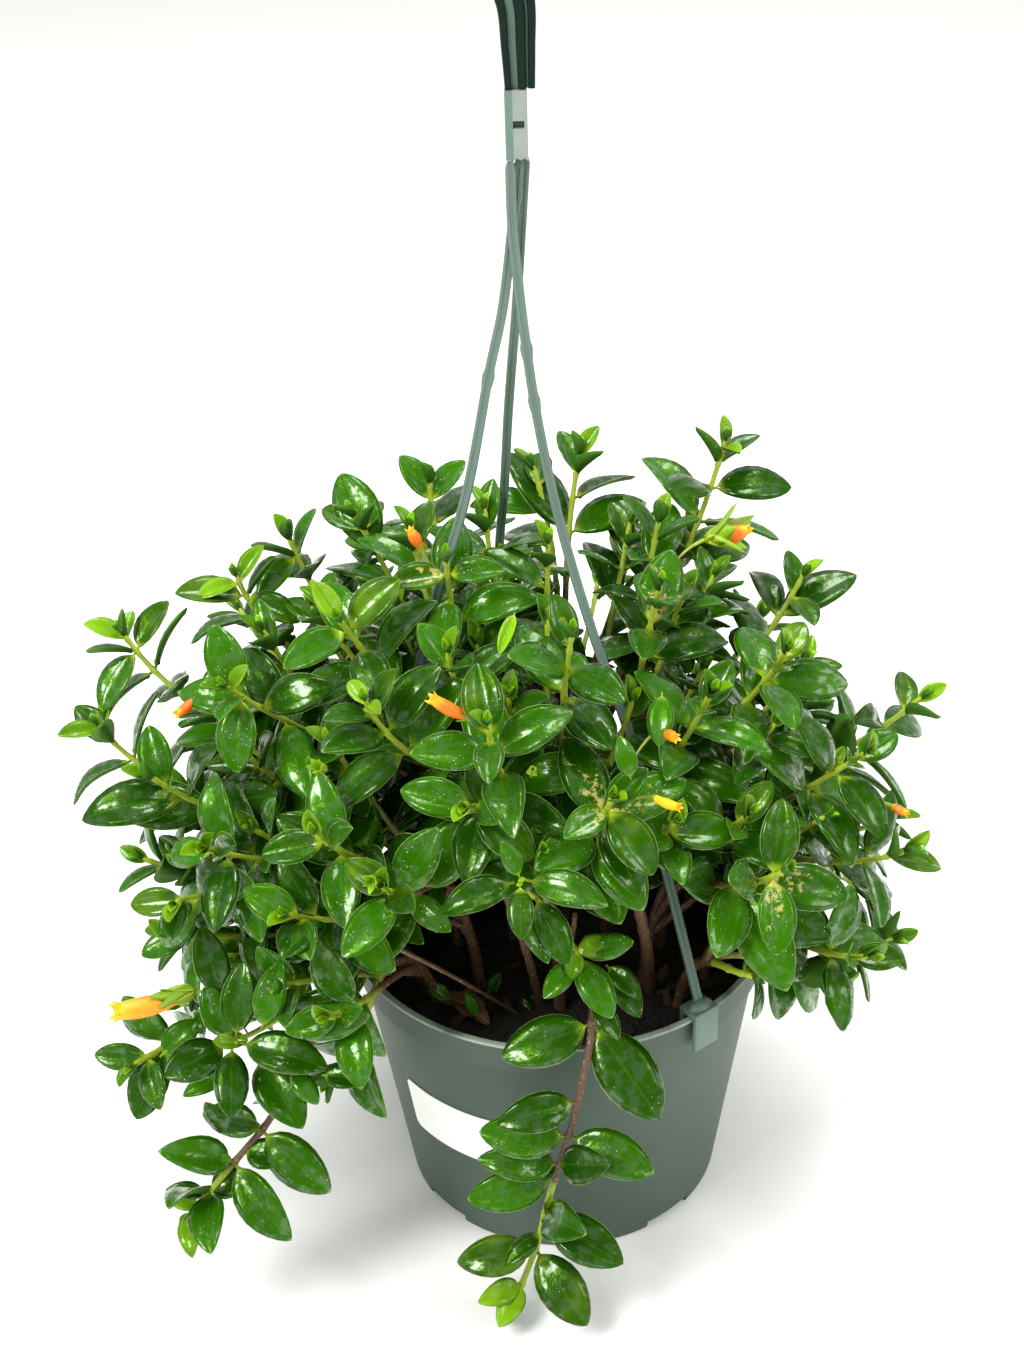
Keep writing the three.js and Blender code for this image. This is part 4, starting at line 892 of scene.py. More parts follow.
def put_attribute(mesh, name, values, domain="POINT", kind="FLOAT"):
    attribute = mesh.attributes.new(name, kind, domain)
    key = "vector" if kind == "FLOAT_VECTOR" else "value"
    dtype = np.int32 if kind == "INT" else np.float32
    attribute.data.foreach_set(key, np.asarray(values, dtype).ravel())


def make_mesh(name, points, faces=(), edges=(), scale=MM):
    mesh = bpy.data.meshes.new(name)
    mesh.from_pydata((np.asarray(points, float) * scale).tolist(), list(edges), list(faces))
    mesh.update()
    return mesh


def link_object(name, mesh):
    thing = bpy.data.objects.new(name, mesh)
    bpy.context.scene.collection.objects.link(thing)
    return thing


def finish_piece(piece, material, slot, *nodes):
    """Dresses a finished piece, hangs it on the root body and hides the parts of the frame that it stands
    for.
    """
    if material:
        piece.data.materials.clear()
        piece.data.materials.append(material)
    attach(piece, "root")
    if nodes:
        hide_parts(*nodes)


def face_outwards(mesh):
    """Turns every face of a closed mesh outwards."""
    shape = bmesh.new()
    shape.from_mesh(mesh)
    bmesh.ops.recalc_face_normals(shape, faces=shape.faces)
    shape.to_mesh(mesh)
    shape.free()


def smooth_piece(name, points, faces, angle=180.0, tags=None):
    """A closed, shaded piece from points in millimetres.

    Edges sharper than the angle stay crisp.
    """
    mesh = make_mesh(name, points, faces)
    for key, values in (tags or {}).items():
        put_attribute(mesh, key, values)
    mesh.shade_smooth()
    if angle < 180:
        mesh.set_sharp_from_angle(angle=math.radians(angle))
    face_outwards(mesh)
    return link_object(name, mesh)


def ring_faces(rings, count, closed=False):
    """The quads between rings of count points each, wound so that they face outwards."""
    faces = []
    for i in range(rings if closed else rings - 1):
        low, high = i * count, ((i + 1) % rings) * count
        for j in range(count):
            k = (j + 1) % count
            faces.append((low + j, high + j, high + k, low + k))
    return faces


def slab_faces(wide, rows):
    """The faces of two grids of points, front then back, closed round their edge."""
    faces, back = [], wide * rows
    for j in range(rows - 1):
        for i in range(wide - 1):
            a = j * wide + i
            faces.append((a, a + 1, a + wide + 1, a + wide))
            faces.append((back + a, back + a + wide, back + a + wide + 1, back + a + 1))
    rim = list(range(wide)) + [j * wide + wide - 1 for j in range(1, rows)]
    rim += [(rows - 1) * wide + i for i in range(wide - 2, -1, -1)]
    rim += [j * wide for j in range(rows - 2, 0, -1)]
    return faces + [(b, a, back + a, back + b) for a, b in zip(rim, rim[1:] + rim[:1])]


def sweep(line, section, steps, hint, size=None):
    """Points and faces of a section carried along a line. hint says which way the section lies."""
    section = np.array(section, float)
    count = len(section)
    points = []
    for share in np.linspace(0, 1, steps + 1):
        heading = line.heading(share)
        side = unit(np.cross(heading, hint(share)))
        rise = np.cross(heading, side)
        scaled = section * (size(share) if size else 1)
        points.append(line.at(share) + scaled[:, :1] * side + scaled[:, 1:] * rise)
    faces = [face[::-1] for face in ring_faces(steps + 1, count)]
    faces.append(tuple(range(count))[::-1])
    faces.append(tuple(steps * count + j for j in range(count)))
    return np.vstack(points), [face[::-1] for face in faces]


def join_parts(parts):
    """Several (points, faces) made into one."""
    points, faces, start = [], [], 0
    for spots, polygons in parts:
        points.append(np.asarray(spots, float))
        faces.extend(tuple(start + corner for corner in polygon) for polygon in polygons)
        start += len(spots)
    return np.vstack(points), faces


def bevel_edges(points, faces, width, segments=2, angle=30):
    """The same solid with its sharp edges rounded."""
    shape = bmesh.new()
    corners = [shape.verts.new(point) for point in points]
    for face in faces:
        shape.faces.new([corners[corner] for corner in face])
    bmesh.ops.recalc_face_normals(shape, faces=shape.faces)
    sharp = [edge for edge in shape.edges if edge.calc_face_angle(0) > math.radians(angle)]
    bmesh.ops.bevel(
        shape, geom=sharp, offset=width, segments=segments, profile=0.5, affect="EDGES",
        clamp_overlap=True)
    shape.verts.index_update()
    spots = np.array([vert.co[:] for vert in shape.verts])
    polygons = [tuple(vert.index for vert in face.verts) for face in shape.faces]
    shape.free()
    return spots, polygons


def lathe(profile, angles, place=None):
    """A closed body turned from a profile of (radius, height) that starts and ends on the axis."""
    middle = profile[1:-1]
    spots = [(0, 0, profile[0][1])]
    for radius, height in middle:
        for angle in angles:
            r, z = place(radius, height, angle) if place else (radius, height)
            spots.append((r * math.cos(angle), r * math.sin(angle), z))
    spots.append((0, 0, profile[-1][1]))
    count, rings, last = len(angles), len(middle), len(spots) - 1
    faces = []
    for i in range(rings - 1):
        for j in range(count):
            k = (j + 1) % count
            low, high = 1 + i * count, 1 + (i + 1) * count
            faces.append((low + j, low + k, high + k, high + j))
    for j in range(count):
        k = (j + 1) % count
        faces.append((0, 1 + k, 1 + j))
        faces.append((last, last - count + j, last - count + k))
    return np.array(spots), faces


# Leaf blades.


def blade(shape):
    """Points, faces and tags of one leaf of unit length along X, with its face up.

    The rings run from the foot of the stalk to the tip. Each has seven points across the upper
    face and one under the midrib.
    """
    stalk, wide = shape.get("stalk", 0.09), shape.get("half_width", 0.25)
    a, b = shape.get("outline", (0.63, 0.72))
    peak = a / (a + b)
    top = peak ** a * (1 - peak) ** b
    across = np.array([-1, -0.68, -0.36, 0, 0.36, 0.68, 1])
    pillow = np.sin(np.pi * np.abs(across) ** 0.8)
    stations = [(0, 0.022), (stalk * 0.9, 0.02)]
    for s in shape.get("rings", (0.03, 0.09, 0.18, 0.3, 0.44, 0.58, 0.71, 0.82, 0.91, 0.97)):
        stations.append((stalk + (1 - stalk) * s, wide * s ** a * (1 - s) ** b / top))
    points, reach, beside = [], [], []

    def carry(u, y, z):
        lift = shape.get("arch", 0.05) * math.sin(math.pi * u) - shape.get("droop", 0.1) * u * u
        lift -= shape.get("curl", 0.0) * max(u - 0.6, 0) ** 2
        turn = shape.get("twist", 0.0) * u
        y, z = y * math.cos(turn) - z * math.sin(turn), y * math.sin(turn) + z * math.cos(turn)
        return u, y + shape.get("bend", 0.0) * u * u, z + lift

    for u, half in stations:
        leafy = min(max((u - stalk) / 0.08, 0), 1)
        ripple = shape.get("ripple", 0.0) * math.sin(17 * u)
        for v, puff in zip(across, pillow):
            z = half * leafy * (shape.get("dome", 0.14) * puff + shape.get("fold", 0.12) * abs(v))
            z += half * leafy * ripple * abs(v) ** 3
            z += (1 - leafy) * half * math.cos(v * math.pi / 2)
            points.append(carry(u, v * half, z))
            reach.append(u)
            beside.append(v)
        thick = mix(half, shape.get("thick", 0.045) * min(half / (0.4 * wide), 1), leafy)
        points.append(carry(u, 0, -thick))
        reach.append(u)
        beside.append(0)
    points.append(carry(1, 0, 0))
    reach.append(1)
    beside.append(0)
    rings, count = len(stations), len(across) + 1
    faces = ring_faces(rings, count)
    start, tip = (rings - 1) * count, rings * count
    faces += [(start + j, tip, start + (j + 1) % count) for j in range(count)]
    faces.append(tuple(range(count)))
    under = [1.0 if len({c % count for c in face} & {count - 1}) and tip not in face else 0.0
             for face in faces]
    for j in (count - 2, count - 1):
        under[(rings - 1) * count + j] = 1.0
    return np.array(points), faces, {"reach": reach, "beside": beside}, under


def blade_master(name, shape, collection):
    points, faces, tags, under = blade(shape)
    mesh = make_mesh(name, points, faces, scale=1)
    for key, values in tags.items():
        put_attribute(mesh, key, values)
    put_attribute(mesh, "under", under, "FACE")
    mesh.shade_smooth()
    master = bpy.data.objects.new(name, mesh)
    collection.objects.link(master)
    return master


BUD = {"fold": 0.8, "dome": 0.1, "droop": -0.08, "arch": 0.0, "half_width": 0.24, "stalk": 0.05,
       "rings": (0.1, 0.3, 0.6, 0.85)}
YOUNG = [
    {"fold": 0.75, "dome": 0.1, "droop": -0.06, "arch": 0.0, "half_width": 0.25, "stalk": 0.05},
    {"fold": 0.4, "dome": 0.12, "droop": 0.02, "arch": 0.02, "half_width": 0.27, "stalk": 0.07},
]
GROWN = [
    {"fold": 0.16, "dome": 0.09, "droop": 0.1},
    {"fold": 0.26, "dome": 0.08, "droop": 0.06, "curl": 0.5, "bend": 0.03},
    {"fold": 0.05, "dome": 0.12, "droop": 0.12, "twist": 0.22, "half_width": 0.265},
    {"fold": 0.2, "dome": 0.08, "droop": 0.09, "twist": -0.2, "bend": -0.03},
    {"fold": -0.06, "dome": 0.13, "droop": 0.11, "ripple": 0.08, "half_width": 0.258},
    {"fold": 0.3, "dome": 0.07, "droop": 0.08, "curl": 0.8, "half_width": 0.24},
]
LOBES = [{"fold": 0.3, "dome": 0.1, "droop": -0.1, "stalk": 0.02, "outline": (0.35, 0.9)}]


# Geometry Nodes trees.


class Tree:
    """A Geometry Nodes tree with named inputs."""

    def __init__(self, name, inputs):
        self.tree = bpy.data.node_groups.new(name, "GeometryNodeTree")
        face = self.tree.interface
        face.new_socket("Geometry", in_out="OUTPUT", socket_type="NodeSocketGeometry")
        face.new_socket("Geometry", in_out="INPUT", socket_type="NodeSocketGeometry")
        self.keys = {}
        for key, (kind, default) in inputs.items():
            socket = face.new_socket(key, in_out="INPUT", socket_type=kind)
            if default is not None:
                socket.default_value = default
            self.keys[key] = socket.identifier
        self.entry = self.tree.nodes.new("NodeGroupInput")
        self.exit = self.tree.nodes.new("NodeGroupOutput")

    def node(self, kind, settings=None, **values):
        node = self.tree.nodes.new(kind)
        for key, value in (settings or {}).items():
            setattr(node, key, value)
        for key, value in values.items():
            socket = node.inputs[key.replace("_", " ")]
            if isinstance(value, bpy.types.NodeSocket):
                self.tree.links.new(value, socket)
            else:
                socket.default_value = value
        return node

    def attribute(self, name, kind="FLOAT"):
        return self.node("GeometryNodeInputNamedAttribute", {"data_type": kind}, Name=name)

    def close(self, geometry):
        """Ends the tree in Realize Instances and Set Material."""
        real = self.node("GeometryNodeRealizeInstances", Geometry=geometry)
        dressed = self.node(
            "GeometryNodeSetMaterial", Geometry=real.outputs[0],
            Material=self.entry.outputs["Material"])
        self.tree.links.new(dressed.outputs[0], self.exit.inputs[0])

    def run(self, thing, values):
        """Runs the tree on an object and keeps the result as its plain mesh."""
        modifier = thing.modifiers.new(self.tree.name, "NODES")
        modifier.node_group = self.tree
        for key, value in values.items():
            modifier[self.keys[key]] = value
        graph = bpy.context.evaluated_depsgraph_get()
        graph.update()
        mesh = bpy.data.meshes.new_from_object(thing.evaluated_get(graph))
        thing.modifiers.remove(modifier)
        seeds = thing.data
        thing.data = mesh
        mesh.name = thing.name
        bpy.data.meshes.remove(seeds)
        if not len(mesh.polygons):
            raise RuntimeError(f"{self.tree.name} made nothing on {thing.name}")
        return thing


def scatter_tree():
    """Copies of a collection's pieces, one on each point, turned to its two axes."""
    tree = Tree("Scatter on points", {
        "Kinds": ("NodeSocketCollection", None),
        "Size": ("NodeSocketFloat", 1.0),
        "Material": ("NodeSocketMaterial", None),
    })
    kinds = tree.node(
        "GeometryNodeCollectionInfo", Collection=tree.entry.outputs["Kinds"],
        Separate_Children=True, Reset_Children=True)
    turn = tree.node(
        "FunctionNodeAxesToRotation", {"primary_axis": "X", "secondary_axis": "Z"},
        Primary_Axis=tree.attribute("heading", "FLOAT_VECTOR").outputs[0],
        Secondary_Axis=tree.attribute("face", "FLOAT_VECTOR").outputs[0])
    size = tree.node("ShaderNodeVectorMath", {"operation": "SCALE"})
    tree.tree.links.new(tree.attribute("stretch", "FLOAT_VECTOR").outputs[0], size.inputs[0])
    tree.tree.links.new(tree.entry.outputs["Size"], size.inputs["Scale"])
    copies = tree.node(
        "GeometryNodeInstanceOnPoints", Points=tree.entry.outputs["Geometry"],
        Instance=kinds.outputs[0], Pick_Instance=True,
        Instance_Index=tree.attribute("kind", "INT").outputs[0],
        Rotation=turn.outputs[0], Scale=size.outputs[0])
    tree.close(copies.outputs[0])
    return tree


def rod_tree():
    """Round rods along edges, as thick as the attribute says."""
    tree = Tree("Rods along edges", {
        "Width": ("NodeSocketFloat", 1.0),
        "Sides": ("NodeSocketInt", 8),
        "Material": ("NodeSocketMaterial", None),
    })
    path = tree.node("GeometryNodeMeshToCurve", Mesh=tree.entry.outputs["Geometry"])
    ring = tree.node(
        "GeometryNodeCurvePrimitiveCircle", Resolution=tree.entry.outputs["Sides"], Radius=1.0)
    thick = tree.node("ShaderNodeMath", {"operation": "MULTIPLY"})
    tree.tree.links.new(tree.attribute("thick").outputs[0], thick.inputs[0])
    tree.tree.links.new(tree.entry.outputs["Width"], thick.inputs[1])
    rods = tree.node(
        "GeometryNodeCurveToMesh", Curve=path.outputs[0], Profile_Curve=ring.outputs[0],
        Scale=thick.outputs[0], Fill_Caps=True)
    smooth = tree.node("GeometryNodeSetShadeSmooth", Geometry=rods.outputs[0])
    tree.close(smooth.outputs[0])
    return tree


class Scatter:
    """Points that pieces of a collection will be copied to."""

    TAGS = {"heading": "FLOAT_VECTOR", "face": "FLOAT_VECTOR", "stretch": "FLOAT_VECTOR",
            "kind": "INT", "age": "FLOAT", "chance": "FLOAT", "worn": "FLOAT"}

    def __init__(self):
        self.spots, self.rows = [], []

    def add(self, spot, heading, face, stretch, kind, age=0.5, chance=0.5, worn=0.0):
        self.spots.append(spot)
        self.rows.append((heading, face, np.asarray(stretch) * MM, kind, age, chance, worn))

    def piece(self, name, tree, kinds, size, material):
        mesh = make_mesh(name + " points", self.spots)
        for (key, sort), values in zip(self.TAGS.items(), zip(*self.rows)):
            put_attribute(mesh, key, values, kind=sort)
        values = {"Kinds": kinds, "Size": size, "Material": material}
        return tree.run(link_object(name, mesh), values)


class Rods:
    """Lines that round rods will follow."""

    def __init__(self):
        self.points, self.edges, self.thick, self.ages = [], [], [], []

    def add(self, line, stations, radii, ages):
        start = len(self.points)
        self.points.extend(line.at(share) for share in stations)
        self.edges.extend((start + i, start + i + 1) for i in range(len(stations) - 1))
        self.thick.extend(np.asarray(radii) * MM)
        self.ages.extend(ages)

    def piece(self, name, tree, width, sides, material):
        mesh = make_mesh(name + " lines", self.points, edges=self.edges)
        put_attribute(mesh, "thick", self.thick)
        put_attribute(mesh, "age", self.ages)
        values = {"Width": width, "Sides": sides, "Material": material}
        return tree.run(link_object(name, mesh), values)


# Materials.


class Signal:
    """A value that varies over a surface, with the usual arithmetic."""

    def __init__(self, paint, socket):
        self.paint, self.socket = paint, socket

    def maths(self, operation, *values):
        return self.paint.maths(operation, *values)

    def __add__(self, other):
        return self.maths("ADD", self, other)

    __radd__ = __add__

    def __sub__(self, other):
        return self.maths("SUBTRACT", self, other)

    def __rsub__(self, other):
        return self.maths("SUBTRACT", other, self)

    def __mul__(self, other):
        return self.maths("MULTIPLY", self, other)

    __rmul__ = __mul__

    def __abs__(self):
        return self.maths("ABSOLUTE", self)


class Paint:
    """Builds one material with a single shader."""

    def __init__(self, name):
        self.material = bpy.data.materials.new(name)
        self.material.use_nodes = True
        self.tree = self.material.node_tree
        self.tree.nodes.clear()
        output = self.tree.nodes.new("ShaderNodeOutputMaterial")
        self.shader = self.tree.nodes.new("ShaderNodeBsdfPrincipled")
        self.tree.links.new(self.shader.outputs["BSDF"], output.inputs["Surface"])
        self.place = None

    def feed(self, socket, value):
        if isinstance(value, Signal):
            self.tree.links.new(value.socket, socket)
        elif socket.type == "RGBA":
            socket.default_value = (*value[:3], 1)
        else:
            socket.default_value = value

    def node(self, kind, settings=None, values=None, output=0):
        """Adds a node: its settings first, then its sockets. Returns one of its outputs."""
        node = self.tree.nodes.new(kind)
        for key, value in (settings or {}).items():
            if key == "stops":
                ramp = node.color_ramp
                while len(ramp.elements) < len(value):
                    ramp.elements.new(1)
                for element, (spot, colour) in zip(ramp.elements, value):
                    element.position = spot
                    element.color = (*colour[:3], 1)
            else:
                setattr(node, key, value)
        for key, value in (values or {}).items():
            socket = node.inputs[key] if isinstance(key, int) else next(
                one for one in node.inputs if key in (one.identifier, one.name))
            self.feed(socket, value)
        return Signal(self, node.outputs[output])

    def maths(self, operation, *values):
        return self.node("ShaderNodeMath", {"operation": operation}, dict(enumerate(values)))

    def attribute(self, name):
        return self.node("ShaderNodeAttribute", {"attribute_name": name}, output=2)

    def spot(self):
        if self.place is None:
            self.place = self.node("ShaderNodeTexCoord", output=3)
        return self.place

    def scaled(self, scale):
        """Object coordinates stretched by three factors."""
        return self.node("ShaderNodeMapping", {}, {"Vector": self.spot(), "Scale": scale})

    def axis(self, index):
        return self.node("ShaderNodeSeparateXYZ", {}, {"Vector": self.spot()}, index)

    def noise(self, scale, detail=2.0, rough=0.5, vector=None):
        return self.node("ShaderNodeTexNoise", {}, {
            "Vector": vector or self.spot(), "Scale": scale, "Detail": detail, "Roughness": rough})

    def cells(self, scale):
        return self.node("ShaderNodeTexVoronoi", {}, {"Vector": self.spot(), "Scale": scale})

    def band(self, value, low, high, to_low=0.0, to_high=1.0):
        """Smoothly from to_low to to_high while the value goes from low to high."""
        return self.node("ShaderNodeMapRange", {"interpolation_type": "SMOOTHSTEP"}, {
            "Value": value, "From Min": low, "From Max": high, "To Min": to_low,
            "To Max": to_high})

    def blend(self, share, low, high):
        settings = {"data_type": "RGBA", "clamp_factor": True}
        values = {"Factor_Float": share, "A_Color": low, "B_Color": high}
        return self.node("ShaderNodeMix", settings, values, 2)

    def bump(self, height, depth, strength):
        return self.node("ShaderNodeBump", {}, {
            "Height": height, "Distance": depth, "Strength": strength})

    def finish(self, **values):
        for key, value in values.items():
            self.feed(self.shader.inputs[key.replace("_", " ")], value)
        return self.material


def from_hex(text):
    """A colour written as on the web, made linear."""
    parts = [int(text[i:i + 2], 16) / 255 for i in (1, 3, 5)]
    return tuple(((part + 0.055) / 1.055) ** 2.4 if part > 0.04045 else part / 12.92
                 for part in parts)


def leaf_paint(colours):
    paint = Paint("Leaf")
    reach, beside = paint.attribute("reach"), abs(paint.attribute("beside"))
    age, chance, under = (paint.attribute(key) for key in ("age", "chance", "under"))
    cloud = paint.noise(70, 3.0)
    ripe = paint.band(age + (cloud - 0.5) * 0.4 + (chance - 0.5) * 0.2, -0.12, 0.3)
    green = paint.blend(paint.band(chance + cloud * 0.4, 0.3, 1.1), colours.deep, colours.mid)
    colour = paint.blend(ripe, colours.young, green)
    pale_foot = paint.band(reach + cloud * 0.12, 0.27, 0.12) * paint.band(age, 0.0, 1.0, 0.9, 0.4)
    colour = paint.blend(pale_foot, colour, colours.stalk)
    rib = paint.band(beside, 0.09, 0.02) * paint.band(reach, 0.12, 0.3)
    colour = paint.blend(rib * 0.2, colour, colours.rib)
    edge = paint.band(beside, 0.945, 0.99) * paint.band(reach, 0.14, 0.2)
    colour = paint.blend(edge * 0.85, colour, colours.margin)
    tip = paint.band(reach, 0.965, 0.995) * paint.band(chance, 0.35, 0.5)
    colour = paint.blend(tip * 0.7, colour, colours.margin)
    back = paint.blend(cloud * 0.6, colours.underside, green)
    colour = paint.blend(under, colour, back)
    patch = paint.band(paint.noise(330, 4.0, 0.7) - reach * 0.25, 0.43, 0.5)
    worn = patch * paint.attribute("worn") * paint.band(beside, 0.75, 0.45)
    colour = paint.blend(worn * 0.8, colour, colours.scar)
    specks = paint.band(paint.cells(640), 0.14, 0.07)
    some = paint.band(paint.noise(130, 2.0) + chance * 0.12, 0.57, 0.7)
    colour = paint.blend(specks * some * 0.85, colour, colours.speck)
    rough = paint.noise(300, 2.0) * 0.16 + 0.16 + under * 0.35 + worn * 0.2
    grain = paint.noise(420, 3.0) + paint.noise(110, 2.0) + paint.noise(1500, 2.0) * 0.3
    skin = paint.bump(grain, 0.00045, 0.55)
    wet = paint.band(paint.noise(260, 3.0, 0.6), 0.44, 0.6, 0.0, 0.9) * (1 - under)
    return paint.finish(
        Base_Color=colour, Roughness=rough, Normal=skin, Specular_IOR_Level=0.36,
        Specular_Tint=(0.45, 0.95, 0.1), Coat_Weight=wet, Coat_Roughness=0.08)


def stem_paint(colours):
    paint = Paint("Stem")
    age = paint.attribute("age")
    cloud = paint.noise(120, 4.0, 0.6)
    woody = paint.band(age + (cloud - 0.5) * 0.45, 0.3, 0.62)
    young = paint.blend(cloud, colours.stem_young, colours.stem_mid)
    colour = paint.blend(woody, young, colours.stem_old)
    rings = paint.band(paint.noise(900, 3.0, 0.6), 0.55, 0.7)
    colour = paint.blend(rings * woody * 0.6, colour, colours.scar)
    rough = 0.42 + cloud * 0.25
    skin = paint.bump(paint.noise(700, 4.0, 0.6), 0.0003, 0.6)
    return paint.finish(Base_Color=colour, Roughness=rough, Normal=skin)

# Points in the slot are tagged for the painted shade of its recess.

def pot_paint(colours):
    paint = Paint("Pot plastic")
    cloud = paint.noise(18, 3.0, 0.5)
    colour = paint.blend(cloud, colours.pot, colours.pot_dark)
    # Painted highlight: a faint pale band along the lip, standing in for the light that catches it.
    lip = paint.band(paint.axis(2), 0.1116, 0.1122)
    colour = paint.blend(lip * 0.35, colour, colours.dust_and_lip_highlight)
    # Painted highlight: a broken bright line along the top edge of the lip.
    worn = paint.band(paint.axis(2), 0.11205, 0.1126) * paint.band(paint.noise(45, 4.0), 0.38, 0.56)
    colour = paint.blend(worn * 0.8, colour, colours.lip_edge_highlight)
    dust = paint.band(paint.noise(260, 4.0, 0.65), 0.62, 0.8)
    colour = paint.blend(dust * 0.18, colour, colours.dust_and_lip_highlight)
    rough = 0.46 + cloud * 0.12 + dust * 0.15
    skin = paint.bump(paint.noise(1500, 2.0), 0.00006, 0.5)
    return paint.finish(Base_Color=colour, Roughness=rough, Normal=skin)


def label_paint(colours):
    paint = Paint("Blank label")
    fibre = paint.noise(900, 3.0, 0.6)
    stain = paint.band(paint.noise(60, 3.0), 0.55, 0.8)
    colour = paint.blend(stain * 0.4, colours.label, colours.label_stain)
    colour = paint.blend(fibre * 0.12, colour, colours.label_stain)
    skin = paint.bump(fibre, 0.00004, 0.5)
    return paint.finish(Base_Color=colour, Roughness=0.45 + fibre * 0.2, Normal=skin)


def soil_paint(colours):
    paint = Paint("Potting soil")
    lumps = paint.cells(420)
    cloud = paint.noise(90, 5.0, 0.65)
    colour = paint.blend(cloud, colours.soil, colours.soil_dark)
    crumbs = paint.band(paint.noise(520, 3.0, 0.7), 0.6, 0.75)
    colour = paint.blend(crumbs * 0.5, colour, colours.bark)
    skin = paint.bump(lumps + cloud, 0.0012, 0.8)
    return paint.finish(Base_Color=colour, Roughness=0.82 + cloud * 0.15, Normal=skin)


def bark_paint(colours):
    paint = Paint("Bark bits")
    chance = paint.attribute("chance")
    fibre = paint.noise(600, 4.0, 0.65)
    colour = paint.blend(paint.band(chance, 0.3, 1.0), colours.soil_dark, colours.bark)
    colour = paint.blend(fibre * 0.5, colour, colours.soil)
    skin = paint.bump(fibre, 0.0004, 0.8)
    return paint.finish(Base_Color=colour, Roughness=0.8 + fibre * 0.15, Normal=skin)


def dead_leaf_paint(colours):
    paint = Paint("Dead leaf")
    beside = abs(paint.attribute("beside"))
    cloud = paint.noise(150, 4.0, 0.6)
    colour = paint.blend(cloud, colours.dead, colours.dead_dark)
    colour = paint.blend(paint.band(beside, 0.1, 0.02) * 0.6, colour, colours.dead_light)
    skin = paint.bump(cloud, 0.0006, 0.8)
    return paint.finish(Base_Color=colour, Roughness=0.62 + cloud * 0.2, Normal=skin)


def strand_paint(colours):
    paint = Paint("Hanger strand plastic")
    cloud = paint.noise(35, 3.0, 0.5)
    colour = paint.blend(cloud, colours.strand, colours.strand_dark)
    streaks = paint.noise(700, 2.0, 0.5, paint.scaled((1, 1, 0.06)))
    colour = paint.blend(streaks * 0.2, colour, colours.strand_light)
    skin = paint.bump(streaks, 0.00005, 0.5)
    return paint.finish(Base_Color=colour, Roughness=0.34 + cloud * 0.14, Normal=skin)


def shank_paint(colours):
    paint = Paint("Shank plastic")
    cloud = paint.noise(160, 3.0, 0.5)
    milky = paint.blend(cloud, colours.shank, colours.shank_shade)
    seam = (HEAD["shank_x"] - HEAD["shank_width"] / 2 + 2.4) * MM
    colour = paint.blend(paint.band(paint.axis(0), seam - 0.0001, seam + 0.0001),
                         colours.strand, milky)
    # Painted shade: the recess of the slot is painted in the dark hook colour.
    colour = paint.blend(paint.attribute("slot") * 0.9, colour, colours.hook)
    skin = paint.bump(cloud, 0.0001, 0.5)
    return paint.finish(
        Base_Color=colour, Roughness=0.28 + cloud * 0.15, Normal=skin, Subsurface_Weight=0.2,
        Subsurface_Scale=0.003)


def hook_paint(colours):
    paint = Paint("Hook plastic")
    cloud = paint.noise(80, 3.0, 0.5)
    rib = paint.band(paint.attribute("rib"), 0.4, 0.6)
    colour = paint.blend(rib, colours.strand, colours.hook)
    colour = paint.blend(cloud * 0.3, colour, colours.hook_dark)
    skin = paint.bump(paint.noise(900, 2.0), 0.00006, 0.5)
    return paint.finish(
        Base_Color=colour, Roughness=0.34 + cloud * 0.15, Normal=skin, Specular_IOR_Level=0.13)


def bloom_paint(colours):
    paint = Paint("Bloom")
    reach = paint.attribute("reach")
    cloud = paint.noise(240, 3.0, 0.5)
    colour = paint.node("ShaderNodeValToRGB", {"stops": [
        (0.0, colours.bloom_foot), (0.25, colours.bloom), (0.75, colours.bloom),
        (1.0, colours.bloom_mouth)]}, {"Fac": reach + (cloud - 0.5) * 0.2})
    veins = paint.noise(1200, 2.0, 0.5)
    colour = paint.blend(veins * 0.25, colour, colours.bloom_dark)
    yellow = paint.attribute("yellow") * (0.6 + cloud * 0.8)
    colour = paint.blend(yellow, colour, colours.bloom_mouth)
    skin = paint.bump(veins, 0.0001, 0.6)
    return paint.finish(
        Base_Color=colour, Roughness=0.38 + cloud * 0.15, Normal=skin, Subsurface_Weight=0.15,
        Subsurface_Scale=0.002)


def calyx_paint(colours):
    paint = Paint("Calyx")
    reach, chance = paint.attribute("reach"), paint.attribute("chance")
    cloud = paint.noise(300, 3.0, 0.5)
    colour = paint.blend(reach + cloud * 0.4 - 0.2, colours.stalk, colours.young)
    colour = paint.blend(paint.band(chance, 0.5, 0.9) * 0.4, colour, colours.mid)
    skin = paint.bump(cloud, 0.0002, 0.5)
    return paint.finish(Base_Color=colour, Roughness=0.3 + cloud * 0.2, Normal=skin)


def floor_paint(colours):
    paint = Paint("Studio floor")
    cloud = paint.noise(3, 2.0)
    colour = paint.blend(cloud * 0.1, colours.floor, colours.floor_shade)
    return paint.finish(Base_Color=colour, Roughness=0.9)


# Sizes and colours a user would change.


def colour(name, description, web):
    return bpy.props.FloatVectorProperty(
        name=name, description=description, default=from_hex(web), subtype="COLOR", size=3,
        min=0.0, max=1.0)


def amount(name, description, default, low, high, **more):
    return bpy.props.FloatProperty(
        name=name, description=description, default=default, min=low, max=high, **more)


def number(name, description, default, low, high):
    return bpy.props.IntProperty(
        name=name, description=description, default=default, min=low, max=high)


